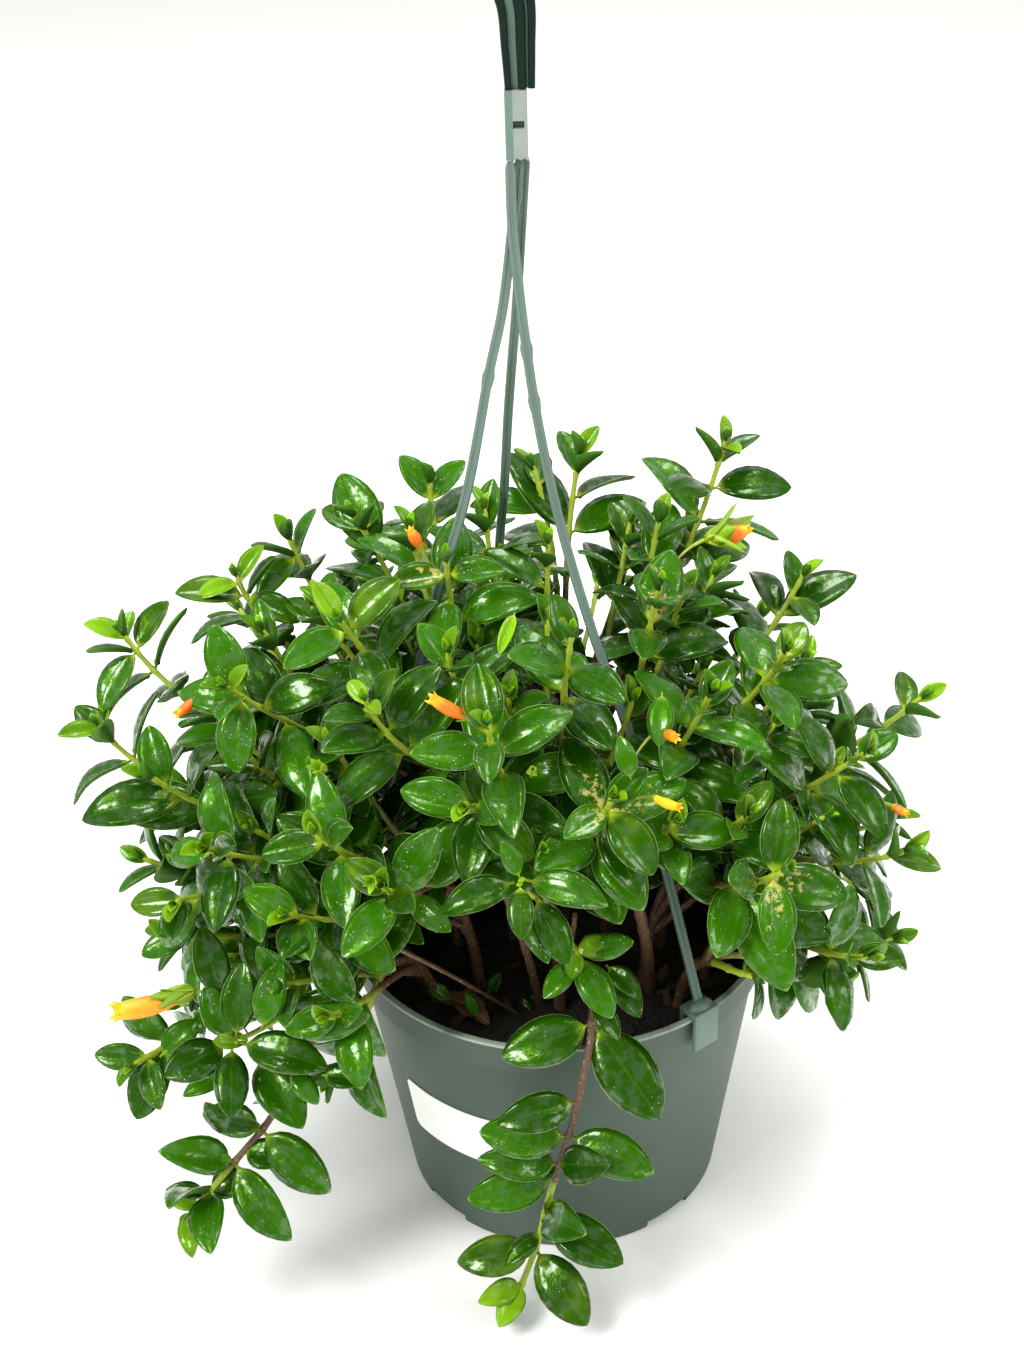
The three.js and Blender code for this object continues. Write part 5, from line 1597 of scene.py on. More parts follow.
class GOLDFISH_PG_foliage(bpy.types.PropertyGroup):
    """Leaves and stems."""

    leaf_size: amount("Leaf size", "Size of every leaf against the grown one", 1.0, 0.5, 1.5)
    stem_width: amount("Stem width", "Width of every stem against the grown one", 1.0, 0.5, 2.0)
    stem_sides: number("Stem sides", "Sides of a stem's round section", 8, 4, 24)
    deep: colour("Old leaf", "Upper face of the darkest old leaves", "#153B02")
    mid: colour("Grown leaf", "Upper face of a grown leaf", "#2B5F03")
    young: colour("Young leaf", "Upper face of the leaves at the tips", "#7FAE16")
    stalk: colour("Leaf stalk", "Stalks and leaf bases", "#A0B824")
    rib: colour("Midrib", "The line of the midrib", "#3F7A24")
    margin: colour("Leaf margin", "The thin rim line of a leaf", "#8FB05A")
    underside: colour("Underside", "Lower face of a leaf", "#48732A")
    scar: colour("Scar", "Corky patches on old leaves and stems", "#B5A860")
    speck: colour("Speck", "Small pale specks on the leaves", "#DDE6C4")
    stem_young: colour("Young stem", "Stems near the tips", "#A9C02C")
    stem_mid: colour("Grown stem", "Stems halfway down", "#8B9F2C")
    stem_old: colour("Old stem", "Woody stems near the soil", "#553B2A")


class GOLDFISH_PG_bloom(bpy.types.PropertyGroup):
    """Blooms and calyces."""

    sides: number("Sides", "Sides of a bloom's round section", 20, 8, 48)
    rings: number("Rings", "Rings along a bloom", 22, 8, 64)
    bloom: colour("Bloom", "The pouch of a bloom", "#F26A02")
    bloom_foot: colour("Bloom foot", "Where a bloom leaves its calyx", "#F5A306")
    bloom_mouth: colour("Bloom mouth", "The lips of a bloom", "#F8BE0A")
    bloom_dark: colour("Bloom veins", "Fine veins of a bloom", "#D94A02")


class GOLDFISH_PG_pot(bpy.types.PropertyGroup):
    """Pot, label and soil."""

    segments: number("Segments", "Straight steps round the pot", 240, 48, 480)
    crumbs: number("Crumbs", "Loose crumbs and bark bits on the soil", 520, 0, 2000)
    pot: colour("Pot", "The moulded plastic of the pot", "#3F5246")
    pot_dark: colour("Pot shade", "Darker clouds in the plastic", "#37483D")
    # Painted highlight: the pale band along the lip; the same colour also paints the real dust.
    dust_and_lip_highlight: colour("Pot lip", "The paler lip and the dust", "#73857A")
    # Painted highlight: the broken bright line along the top edge of the lip.
    lip_edge_highlight: colour("Pot edge", "Painted highlight on the edge of the lip", "#A9B5A6")
    label: colour("Label", "The blank label", "#FEFEFA")
    label_stain: colour("Label stain", "Faint marks on the label", "#D5D3C8")
    soil: colour("Soil", "Damp potting mix", "#1E1713")
    soil_dark: colour("Dark soil", "The darkest bits of the mix", "#0E0B09")
    bark: colour("Bark", "Bark bits in the mix", "#3C2B1F")
    dead: colour("Dead leaf", "The leaf that lies on the soil", "#7A5233")
    dead_dark: colour("Dead leaf shade", "Dark blotches of the dead leaf", "#4A2F1D")
    dead_light: colour("Dead leaf rib", "The rib of the dead leaf", "#A8835A")


class GOLDFISH_PG_hanger(bpy.types.PropertyGroup):
    """Strands, shank and hook."""

    steps: number("Steps", "Straight steps along a strand", 150, 24, 400)
    strand: colour("Strand", "The sage plastic of the strands", "#5F776A")
    strand_dark: colour("Strand shade", "Darker clouds in the strands", "#4D6458")
    strand_light: colour("Strand gleam", "Pale drawn lines along the strands", "#88998C")
    shank: colour("Shank", "The milky plastic of the shank", "#969E9A")
    shank_shade: colour("Shank shade", "Darker clouds in the shank", "#77817C")
    # This colour also paints the shade in the slot of the shank.
    hook: colour("Hook", "The dark ribs of the hook", "#0E2019")
    hook_dark: colour("Hook shade", "Darker clouds in the hook", "#08130E")


class GOLDFISH_PG_stage(bpy.types.PropertyGroup):
    """Floor and light."""

    floor_size: amount("Floor size", "Width of the floor", 30.0, 1.0, 100.0, unit="LENGTH")
    floor: colour("Floor", "The pale floor", "#F7F7F5")
    floor_shade: colour("Floor shade", "Faint clouds of the floor", "#EFEFEC")
    sky: amount("Sky light", "Strength of the light from all round", 0.8, 0.0, 5.0)
    key: amount("Key light", "Power of the broad light at the front left", 29.0, 0.0, 500.0)
    top: amount("Top light", "Power of the light overhead", 18.0, 0.0, 500.0)
    fill: amount("Fill light", "Power of the light at the right", 10.0, 0.0, 500.0)


# Plant pieces.

GROWN_PLANT = []


def grown_plant():
    if not GROWN_PLANT:
        plant = Plant()
        thicken(plant)
        open_gaps(plant)
        fill_gaps(plant)
        for spray in plant.sprays:
            spray.shoots = [one for one in spray.shoots
                            if one not in plant.extra or len(one.leaves) > THICKEN["sparse"]]
        GROWN_PLANT.append(plant)
    return GROWN_PLANT[0]


# Slender side shoots that the frame leaves out fill the mound between its shoots.
THICKEN = {
    "count": 620,
    "seed": 23,
    "spacing": 25,
    "low": 96,
    "front_low": 150,
    "front_half": 52,
    "reach": (0.72, 0.97),
    "pairs": 5,
    "sparse": 3,
}


# Corky scars show near the first pixels. The others outline the gaps where the photograph shows
# a strand, its clip or the soil, and nothing grows by rule before those.
SCARS = [(585, 802), (628, 790), (660, 572), (662, 602), (420, 566), (768, 882), (832, 893),
         (205, 583), (208, 1062), (642, 1092), (776, 640)]
STRAND_GAP = [(534, 405), (548, 467), (565, 545), (585, 615), (605, 678), (625, 733)]
CLIP_GAP = [(680, 905), (688, 955), (698, 1010)]
SOIL_GAP = [(378, 1008), (400, 965), (430, 935), (500, 915), (600, 925), (650, 905), (735, 945),
            (755, 985), (705, 1035), (645, 1068), (500, 1075), (425, 1048)]


def to_pixel(point):
    """Where a point shows in the photograph."""
    away = point - EYE
    scale = CAMERA["focal"] / (away @ FORWARD)
    across, rise = away @ RIGHT * scale, away @ TOP * scale
    return np.array([CAMERA["width"] / 2 + across, CAMERA["height"] / 2 - rise])


def near_pixels(point, pixels, room):
    return min(distance(to_pixel(point), pixel) for pixel in pixels) < room


def near_path(pixel, path, room):
    for start, end in zip(np.array(path[:-1], float), np.array(path[1:], float)):
        step = end - start
        share = min(max((pixel - start) @ step / (step @ step), 0), 1)
        if distance(start + step * share, pixel) < room:
            return True
    return False


def inside_outline(pixel, outline):
    x, y = pixel
    inside = False
    for (x0, y0), (x1, y1) in zip(outline, outline[1:] + outline[:1]):
        if (y0 > y) != (y1 > y) and x < x0 + (y - y0) / (y1 - y0) * (x1 - x0):
            inside = not inside
    return inside


def hides_a_gap(leaf):
    """True where a leaf would cover a strand, a clip or the soil that the photograph shows."""
    for point in (leaf.point(u, v) for u, v in ((0.3, 0), (0.55, -0.8), (0.55, 0.8), (0.95, 0))):
        pixel = to_pixel(point)
        if near_path(pixel, STRAND_GAP, 11) or near_path(pixel, CLIP_GAP, 17):
            return True
        if inside_outline(pixel, SOIL_GAP):
            return True
    return False


def open_gaps(plant):
    """Takes away what the rules have put before the gaps: whole shoots, or single leaves."""
    for spray in plant.sprays:
        for shoot in list(spray.shoots):
            pixel = to_pixel(shoot.tip)
            hides = near_path(pixel, STRAND_GAP, 12) or near_path(pixel, CLIP_GAP, 17)
            for share in (0.5, 0.75, 1) if shoot in plant.extra else (1,):
                hides = hides or inside_outline(to_pixel(shoot.stem.at(share)), SOIL_GAP)
            if hides and not shoot.seen:
                spray.shoots.remove(shoot)
                plant.shoots.remove(shoot)
    for shoot in plant.shoots:
        shoot.leaves = [leaf for leaf in shoot.leaves if leaf.seen or not hides_a_gap(leaf)]
        if shoot.seen and near_pixels(shoot.tip, REDRAWN, 3):
            shoot.leaves, shoot.nodes = [], []


def thicken(plant):
    random, strands = SeededRandom(THICKEN["seed"]), strand_points()
    for tip in mound_spots(THICKEN, random):
        tips = np.array([shoot.tip for shoot in plant.shoots])
        crowded = np.linalg.norm(tips - tip, axis=1).min() < THICKEN["spacing"]
        if is_low(tip, THICKEN) or crowded:
            continue
        hangs = tip[2] < MOUND["hang_below"]
        heading = hanging_direction(tip) if hangs else growth_direction(tip)
        shoot = Shoot(tip, heading, [], False, hangs, random() * math.pi)
        shoot.nodes = LEAF["nodes"][:THICKEN["pairs"]]
        spray = min(plant.sprays, key=lambda one: distance(one.trunk.at(1), tip))
        add_branch(spray, shoot, len(spray.shoots), strands)
        spray.shoots.append(shoot)
        plant.shoots.append(shoot)
        plant.extra.append(shoot)


def has_leaf_towards(shoot, pair, heading):
    return any(leaf.pair == pair and leaf.along @ heading > 0.5 for leaf in shoot.leaves)


def fill_gaps(plant):
    """Smaller leaves where a full-grown one finds no room, and the youngest pairs at the tips."""
    for pair in range(len(LEAF["nodes"])):
        for shoot in plant.shoots:
            spot = node_spot(shoot, LEAF["nodes"][pair])
            if shoot.trailing or pair >= len(shoot.nodes) or not spot:
                continue
            marked = [leaf for leaf in shoot.leaves if leaf.seen and leaf.pair == pair]
            zero, turn = pair_turn(shoot, spot)
            if marked:
                zero, turn = marked[0].along, 0 if pair % 2 == 0 else -math.pi / 2
                zero = unit(zero - spot["axis"] * (zero @ spot["axis"]))
            for side in (0, math.pi):
                for scale in (1.0, 0.8, 0.62):
                    leaf = leaf_by_rule(spot, zero, pair, turn + side, 0, 0, scale)
                    if has_leaf_towards(shoot, pair, leaf.along):
                        break
                    leaf = rule_leaf(plant.thicket, spot, zero, pair, turn + side, scale)
                    if leaf and not hides_a_gap(leaf):
                        keep_leaf(plant.thicket, shoot, leaf, pair, spot["share"], False)
                        break


def clear_collection(collection):
    for thing in list(collection.objects):
        mesh = thing.data
        bpy.data.objects.remove(thing)
        bpy.data.meshes.remove(mesh)
    bpy.data.collections.remove(collection)


PAIR_AGES = (0.08, 0.3, 0.52, 0.7, 0.84, 0.94, 1.0)


def leaf_kind(pair, chance):
    """The number of the leaf form: folded at the tip, open and more varied below."""
    if pair < 2:
        return pair
    return len(YOUNG) + int(chance * len(GROWN) * 0.999)


def to_the_light(leaf):
    """The upper face of a leaf turns to the sky and away from the middle of the plant."""
    outward, front = mound_normal(leaf.middle), unit(EYE - leaf.middle)
    light = UP * 0.6 + outward * 0.5
    light += front * (1.7 if leaf.seen else 0.4 * max(outward @ front, 0))
    return unit(leaf.up + light * 0.75)


def add_leaves(scatter, shoot, random):
    for leaf in shoot.leaves:
        chance = random()
        wide = 1 + (random() - 0.5) * 0.12
        age = PAIR_AGES[leaf.pair] if leaf.pair < 2 or not shoot.trailing else 0.75
        stretch = (leaf.length, leaf.length * wide, leaf.length)
        kind = leaf_kind(leaf.pair, chance) if not shoot.trailing else leaf_kind(6, chance)
        worn = 1.0 if leaf.seen and near_pixels(leaf.point(0.25, 0), SCARS, 20) else 0.0
        scatter.add(leaf.node, leaf.along, to_the_light(leaf), stretch, kind, age, random(), worn)


def add_bud(scatter, shoot, random):
    """The tiny unopened leaves at the very tip of a shoot."""
    if not shoot.leaves:
        return
    tip, axis = shoot.stem.at(1), shoot.stem.heading(1)
    side = unit(np.cross(axis, RIGHT + 0.01))
    for order, (length, opening) in enumerate(((6.0, 20), (6.4, 22), (4.0, 8), (3.7, 12))):
        turn = math.pi * (order % 2) + math.pi / 2 * (order // 2) + shoot.spin
        out = side * math.cos(turn) + np.cross(axis, side) * math.sin(turn)
        angle = math.radians(opening + random() * 8)
        along = axis * math.cos(angle) + out * math.sin(angle)
        stretch = (length, length * 1.1, length)
        scatter.add(tip - axis * 0.8, along, unit(axis * math.sin(angle) - out * math.cos(angle)),
                    stretch, len(YOUNG + GROWN), -0.1, random())


def on_soil(pixel, rise=0.0):
    """Where a pixel's line of sight meets the level of the soil, or a level over it."""
    line = sight_line(pixel)
    return EYE + line * (SOIL["top"] + rise - EYE[2]) / line[2]


def share_nearest(line, pixel):
    shares = np.linspace(0, 1, 401)
    gaps = [distance(nearest_on_line(pixel, line.at(share)), line.at(share)) for share in shares]
    return float(shares[int(np.argmin(gaps))])


# Leaves that stand alone in the photograph: the pixels of the foot and of the tip, the age and,
# for a broad one that points at the camera, its width.
# Each grows from a trailing stem, stands a little over the soil or sits on the mound at a reach.
LONE_LEAVES = {
    "left": [
        ([263, 1130], [204, 1112], 0.8, 1.15), ([240, 1149], [284, 1158], 0.7, 1.6),
        ([206, 1193], [168, 1188], 0.8), ([206, 1190], [248, 1174], 0.7, 1.5),
        ([200, 1205], [165, 1198], 0.0), ([199, 1206], [188, 1253], 0.3),
        ([198, 1207], [206, 1248], 0.05), ([226, 1163], [218, 1153], 0.0)],
    "front": [
        ([556, 1166], [534, 1180], 0.7), ([535, 1230], [508, 1262], 0.6),
        ([524, 1298], [500, 1322], 0.1)],
    "soil": [
        ([452, 1003], [427, 982], 0.8), ([478, 1018], [466, 993], 0.8), ([487, 996], [500, 972], 0.8),
        ([530, 1010], [523, 999], 0.4), ([531, 999], [540, 991], 0.4)],
    0.55: [([606, 965], [641, 996], 0.9), ([610, 968], [640, 1016], 0.9)],
    0.7: [
        ([592, 1000], [620, 1038], 0.9), ([576, 960], [545, 998], 0.8), ([579, 954], [632, 940], 0.8),
        ([577, 956], [612, 1016], 0.8), ([576, 954], [606, 938], 0.2), ([578, 950], [570, 978], 0.2)],
    0.82: [
        ([535, 898], [568, 962], 0.9), ([523, 904], [548, 960], 0.9), ([514, 882], [443, 909], 0.8),
        ([526, 880], [605, 900], 0.8)],
    0.9: [
        ([520, 878], [503, 842], 0.5), ([520, 884], [521, 938], 0.4),
        ([518, 881], [526, 879], 0.05), ([523, 883], [516, 886], 0.05)],
    0.93: [
        ([222, 998], [200, 928], 1), ([262, 1030], [279, 963], 1), ([256, 1058], [300, 1127], 1, 1.1),
        ([290, 1068], [318, 1103], 1), ([226, 1076], [184, 1093], 1), ([288, 1030], [367, 1013], 0.9),
        ([322, 1075], [362, 1079], 0.9, 1.3),
        ([515, 613], [499, 656], -0.3), ([662, 692], [659, 745], 0.8), ([631, 780], [622, 737], 0.8)],
    0.96: [
        ([236, 1038], [241, 963], 0.8), ([234, 1039], [210, 985], 0.7), ([227, 1045], [166, 1077], 0.8, 1.25),
        ([240, 1043], [325, 1067], 0.8), ([232, 1046], [231, 1117], 0.6)],
    0.97: [([232, 1040], [206, 987], 0.7, 1.15), ([160, 1057], [198, 1020], 0.8, 1.15)],
    0.98: [([238, 1043], [212, 1042], 0.15), ([222, 1042], [249, 1041], 0.15)],
}
# The shoots with these tips are drawn from the leaves above alone.
REDRAWN = [[232, 1042], [578, 952], [520, 882]]


def add_lone_leaves(scatter, plant, random):
    stems = {"front": plant.trailers[0].stem, "left": plant.trailers[1].stem}
    for place, rows in LONE_LEAVES.items():
        for foot_pixel, tip_pixel, age, *broad in rows:
            if place == "soil":
                foot = on_soil(foot_pixel, 3)
            elif place in stems:
                foot = stems[place].at(share_nearest(stems[place], foot_pixel))
            else:
                foot = on_mound(foot_pixel, place)
            front = unit(EYE - foot)
            across = nearest_on_line(tip_pixel, foot) - foot
            along = unit(across + front * np.linalg.norm(across) * 0.3)
            length = np.linalg.norm(across) * 1.04
            kind = 0 if age < 0.2 else leaf_kind(4, random())
            plain = 0.6 if age < 0 else 0.95 if age > 0.2 else 1.3
            wide = length * (broad[0] if broad else plain)
            face = unit(UP * 0.5 + front)
            scatter.add(foot, along, face, (length, wide, length), kind, age, random())


# Bare woody stems over the soil: the foot's pixel, the head's pixel, its reach and two radii.
TWIGS = [
    ([540, 1006], [503, 890], 0.55, 1.7, 1.3), ([650, 992], [636, 900], 0.55, 2.4, 1.9),
    ([520, 1016], [345, 925], 0.8, 0.6, 0.9), ([560, 985], [575, 915], 0.5, 1.1, 0.9),
]


def keep_in_box(piece):
    """Holds a leafy piece inside the box of the frame."""
    low, high = (np.array(corner, float) for corner in CAD_BOX)
    count = len(piece.data.vertices)
    spots = np.empty(count * 3, np.float32)
    piece.data.vertices.foreach_get("co", spots)
    spots = np.clip(spots.reshape(-1, 3), low + BOX_MARGIN, high - BOX_MARGIN)
    piece.data.vertices.foreach_set("co", spots.ravel())
    piece.data.update()


class GoldfishOperator(bpy.types.Operator):
    bl_options = {"REGISTER", "UNDO"}


class GOLDFISH_OT_foliage(GoldfishOperator):
    """Grow every leaf in its opposite, crosswise pairs"""

    bl_idname = "goldfish.foliage"
    bl_label = "Leaves"

    def execute(self, context):
        looks = context.scene.goldfish_foliage
        plant, random = grown_plant(), SeededRandom(SEEDS["leaves"])
        kinds = bpy.data.collections.new("Leaf forms")
        for index, shape in enumerate([*YOUNG, *GROWN, BUD]):
            blade_master(f"leaf_form_{index:02d}", shape, kinds)
        tree, paint = scatter_tree(), leaf_paint(looks)
        groups = list(plant.nodes())
        ends = [round(len(groups) * share) for share in (0, 0.3, 0.6, 0.82, 1)]
        for index, name in enumerate(("outer", "middle", "inner", "trailing")):
            part, scatter = groups[ends[index]:ends[index + 1]], Scatter()
            for _, shoots, _ in part:
                for shoot in shoots:
                    add_leaves(scatter, shoot, random)
                    add_bud(scatter, shoot, random)
            if name == "trailing":
                add_lone_leaves(scatter, plant, random)
            piece = scatter.piece(f"foliage_{name}", tree, kinds, looks.leaf_size, paint)
            keep_in_box(piece)
            finish_piece(piece, None, "foliage", *[node for node, _, _ in part])
        clear_collection(kinds)
        return {"FINISHED"}


def rod_radii(line, stations, ends, nodes):
    """Thins from the first to the last radius, with a swelling at each pair of leaves."""
    radii = []
    for share in stations:
        radius = mix(ends[0], ends[1], share)
        away = min((abs((1 - share) * line.length - back) for back in nodes), default=99)
        radii.append(radius * (1 + 0.38 * math.exp(-((away / 1.1) ** 2))))
    return radii


class GOLDFISH_OT_stems(GoldfishOperator):
    """Grow the main stems, the branches and the stalks of the blooms"""

    bl_idname = "goldfish.stems"
    bl_label = "Stems"

    def execute(self, context):
        looks = context.scene.goldfish_foliage
        plant, rods = grown_plant(), Rods()
        names = []
        for name, shoots, trunk in plant.nodes():
            names.append(name)
            if trunk:
                stations = np.linspace(0, 1, 24)
                radii = [mix(*STEM["trunk"], share) for share in stations]
                rods.add(trunk, stations, radii, np.ones(24))
            for shoot in shoots:
                self.add_branch(rods, shoot)
        for bloom in plant.blooms:
            stations = np.linspace(0, 1, 14)
            radii = [BLOOM["pedicel"] * (0.42 + 0.7 * share ** 6) for share in stations]
            rods.add(bloom.stalk, stations, radii, 0.5 - 0.2 * stations ** 3)
        for foot_pixel, head_pixel, reach, *radii in TWIGS:
            foot, head = on_soil(foot_pixel, -2), on_mound(head_pixel, reach)
            twig = bezier(foot, mix(foot, head, 0.5) + UP * 3 + RIGHT * 2, head)
            stations = np.linspace(0, 1, 16)
            knobbly = [mix(*radii, share) * (1 + 0.12 * math.sin(share * 40)) for share in stations]
            rods.add(twig, stations, knobbly, np.ones(16))
        piece = rods.piece(
            "stems", rod_tree(), looks.stem_width, looks.stem_sides, stem_paint(looks))
        keep_in_box(piece)
        finish_piece(piece, None, "foliage", *names)
        return {"FINISHED"}

    @staticmethod
    def add_branch(rods, shoot):
        line = shoot.stem
        stations = np.linspace(0, 1, max(int(line.length / 1.8), 12))
        ends = (1.6, 1.1) if shoot.trailing else (1.5, 0.85)
        radii = rod_radii(line, stations, ends, shoot.nodes)
        radii[-1] *= 0.45
        if shoot.trailing:
            ages = np.clip((shoot.woody_to - stations) / 0.14, 0, 1)
        else:
            ages = min(line.length / 90, 1.0) * (1 - stations) ** 0.8
        rods.add(line, stations, radii, ages)


# How much of each bloom shows: shares of its length, its width and its mouth, how yellow it is,
# and the length and spread of its calyx lobes.
BLOOM_LOOKS = [
    (1.0, 0.82, 2.0, 0.45, 15, 0.4), (0.86, 0.66, 1.2, 0.1, 6, 0.6), (0.9, 0.68, 1.0, 0.1, 17, 0.75),
    (0.6, 0.7, 0.9, 0.1, 5, 0.6), (0.75, 0.66, 0.9, 0.0, 5, 0.5), (0.6, 0.62, 0.9, 0.1, 5, 0.5),
    (0.85, 0.58, 0.8, 0.9, 5, 0.4), (0.55, 0.6, 0.8, 0.2, 4, 0.5),
]


def pouch_radius(bloom, share, looks):
    """Narrow at the foot, widest past the middle, drawn in at the mouth."""
    swell = math.sin(math.pi * min(share / 0.94, 1) ** 1.15)
    foot, mouth = BLOOM["foot_radius"] * 0.75, BLOOM["mouth_radius"] * looks[2] * 0.8
    plain = mix(foot, mouth, share)
    return plain + (bloom.belly * looks[1] - mix(foot, mouth, 0.6)) * swell


def bloom_shape(bloom, looks, sides, rings):
    """A pouch with five faint ribs and a small five-lobed mouth."""
    line = bloom.line()
    hint = np.array([1.0, 0, 0]) if abs(bloom.heading[2]) > 0.9 else UP
    angles = np.arange(sides) * 2 * math.pi / sides
    points, reach = [], []

    def ring(share, radius, lobes, push=0.0):
        heading = line.heading(share * looks[0])
        side = unit(np.cross(heading, hint))
        rise = np.cross(heading, side)
        wavy = radius * (1 + lobes * np.cos(5 * angles))
        middle = line.at(share * looks[0]) + heading * push
        forward = heading * 0.5 * (lobes > 0.1)
        for size, angle in zip(wavy, angles):
            lift = forward * math.cos(5 * angle) * radius
            points.append(
                middle + side * math.cos(angle) * size + rise * math.sin(angle) * size + lift)
            reach.append(share)

    for share in np.linspace(0, 1, rings):
        ring(share, pouch_radius(bloom, share, looks), 0.03)
    mouth = BLOOM["mouth_radius"] * looks[2] * 0.8
    ring(1, mouth * 1.12, 0.16, 0.5)
    ring(1, mouth * 0.8, 0.1, 0.3)
    ring(0.96, mouth * 0.6, 0.0)
    total = rings + 3
    faces = ring_faces(total, sides)
    faces.append(tuple(range(sides)))
    faces.append(tuple((total - 1) * sides + j for j in range(sides))[::-1])
    return points, faces, reach


class GOLDFISH_OT_blooms(GoldfishOperator):
    """Grow the orange pouch-shaped blooms"""

    bl_idname = "goldfish.blooms"
    bl_label = "Blooms"

    def execute(self, context):
        looks = context.scene.goldfish_bloom
        parts, tags = [], {"reach": [], "yellow": []}
        for bloom, shape in zip(grown_plant().blooms, BLOOM_LOOKS):
            points, faces, shares = bloom_shape(bloom, shape, looks.sides, looks.rings)
            parts.append((points, faces))
            tags["reach"].extend(shares)
            tags["yellow"].extend([shape[3]] * len(points))
        points, faces = join_parts(parts)
        piece = smooth_piece("blooms", points, faces, 60, tags)
        names = [f"bloom_{index + 1}" for index in range(len(BLOOMS))]
        finish_piece(piece, bloom_paint(looks), "bloom", *names)
        return {"FINISHED"}


def add_calyx(scatter, root, heading, size, spread, random):
    """Five pointed lobes round a bloom's foot."""
    zero = unit(np.cross(heading, UP))
    quarter = np.cross(heading, zero)
    for i in range(5):
        angle = 2 * math.pi * (i + 0.5) / 5
        out = zero * math.cos(angle) + quarter * math.sin(angle)
        along = unit(heading + out * spread * (0.8 + 0.4 * random()))
        face = unit(heading - along * (heading @ along))
        length = size * (0.8 + 0.4 * random())
        scatter.add(root, along, face, (length, size * 0.9, length), 0, 0.2, random())


class GOLDFISH_OT_calyces(GoldfishOperator):
    """Grow the calyx lobes round the foot of each long bloom"""

    bl_idname = "goldfish.calyces"
    bl_label = "Calyces"

    def execute(self, context):
        kinds, scatter = bpy.data.collections.new("Lobe forms"), Scatter()
        random = SeededRandom(SEEDS["calyces"])
        for index, shape in enumerate(LOBES):
            blade_master(f"lobe_form_{index}", shape, kinds)
        plant = grown_plant()
        for bloom, looks in zip(plant.blooms, BLOOM_LOOKS):
            root = bloom.foot - bloom.heading * 1.8
            add_calyx(scatter, root, bloom.heading, looks[4], looks[5], random)
        stem = plant.trailers[0].stem
        for pixel, size, spread in (([553, 1208], 7, 0.9), ([545, 1222], 5, 0.7)):
            root = stem.at(share_nearest(stem, pixel))
            add_calyx(scatter, root, unit(EYE - root + RIGHT * 250), size, spread, random)
        for pixel, size, spread in (([377, 880], 8, 0.5), ([325, 770], 8, 0.5), ([532, 774], 8, 0.2)):
            root = on_mound(pixel, 0.93)
            add_calyx(scatter, root, mound_normal(root), size, spread, random)
        piece = scatter.piece(
            "calyces", scatter_tree(), kinds, 1.0, calyx_paint(context.scene.goldfish_foliage))
        keep_in_box(piece)
        finish_piece(piece, None, "foliage")
        clear_collection(kinds)
        return {"FINISHED"}


# Pot pieces.


def wall_radius(height):
    low = POT["height"] - POT["band_height"]
    return mix(POT["foot_radius"], POT["wall_top_radius"], height / low)


def pot_profile():
    band, lip = POT["height"] - POT["band_height"], POT["height"] - POT["lip_height"]
    foot, top, wall = POT["foot_radius"], POT["top_radius"], POT["wall"]
    edge = POT["band_foot_radius"]
    outer = [(0, 0.6), (40, 0.6), (44, 0), (57, 0), (foot - 0.5, 0), (foot - 0.1, 0.3)]
    outer += [(wall_radius(z), z) for z in (0.8, 3.0, 3.25, 4, 8)]
    outer += [(wall_radius(z), z) for z in np.linspace(14, band - 1.2, 8)]
    outer += [(wall_radius(band) - 0.02, band - 0.5), (wall_radius(band) + 0.3, band - 0.1)]
    outer += [(edge - 0.5, band + 0.25), (edge, band + 0.7), (edge + 0.12, band + 1.4)]
    outer += [(mix(edge + 0.12, top - 0.9, t), mix(band + 1.4, lip - 0.1, t))
              for t in (0.25, 0.5, 0.75, 1)]
    outer += [(top - 0.35, lip + 0.15), (top, lip + 0.45), (top + 0.0, POT["height"] - 0.5)]
    outer += [(top - 0.2, POT["height"] - 0.12), (top - 0.6, POT["height"])]
    inner = [(top - wall + 0.5, POT["height"]), (top - wall + 0.1, POT["height"] - 0.15)]
    inner += [(top - wall, POT["height"] - 0.6), (edge - wall, band + 0.6)]
    inner += [(wall_radius(band) - wall, band - 1.2), (foot - wall, POT["floor"]), (0, POT["floor"])]
    return outer + inner


def pot_angles(segments):
    """Even steps, with close ones at the sides of the drain notches."""
    angles = list(np.arange(segments) * 2 * math.pi / segments)
    half = math.asin(POT["notch_size"][0] / 2 / POT["foot_radius"])
    for i in range(POT["notches"]):
        turn = math.radians(POT["notch_turn"] + 360 * i / POT["notches"])
        for side in (-1, 1):
            angles += [turn + side * half, turn + side * (half + 0.006)]
    return sorted({round(angle % (2 * math.pi), 5) for angle in angles})


def notched(radius, height, angle):
    quarter = 2 * math.pi / POT["notches"]
    off = (angle - math.radians(POT["notch_turn"]) + quarter / 2) % quarter - quarter / 2
    half = math.asin(POT["notch_size"][0] / 2 / POT["foot_radius"])
    if height <= POT["notch_size"][2] and 57 < radius < 65 and abs(off) <= half + 0.001:
        return 57, height
    return radius, height


class GOLDFISH_OT_pot(GoldfishOperator):
    """Turn the pot with its rim band, lip and drain notches"""

    bl_idname = "goldfish.pot"
    bl_label = "Pot"

    def execute(self, context):
        looks = context.scene.goldfish_pot
        points, faces = lathe(pot_profile(), pot_angles(looks.segments), notched)
        piece = smooth_piece("pot_body", points, faces, 38)
        finish_piece(piece, pot_paint(looks), "pot", "pot")
        return {"FINISHED"}


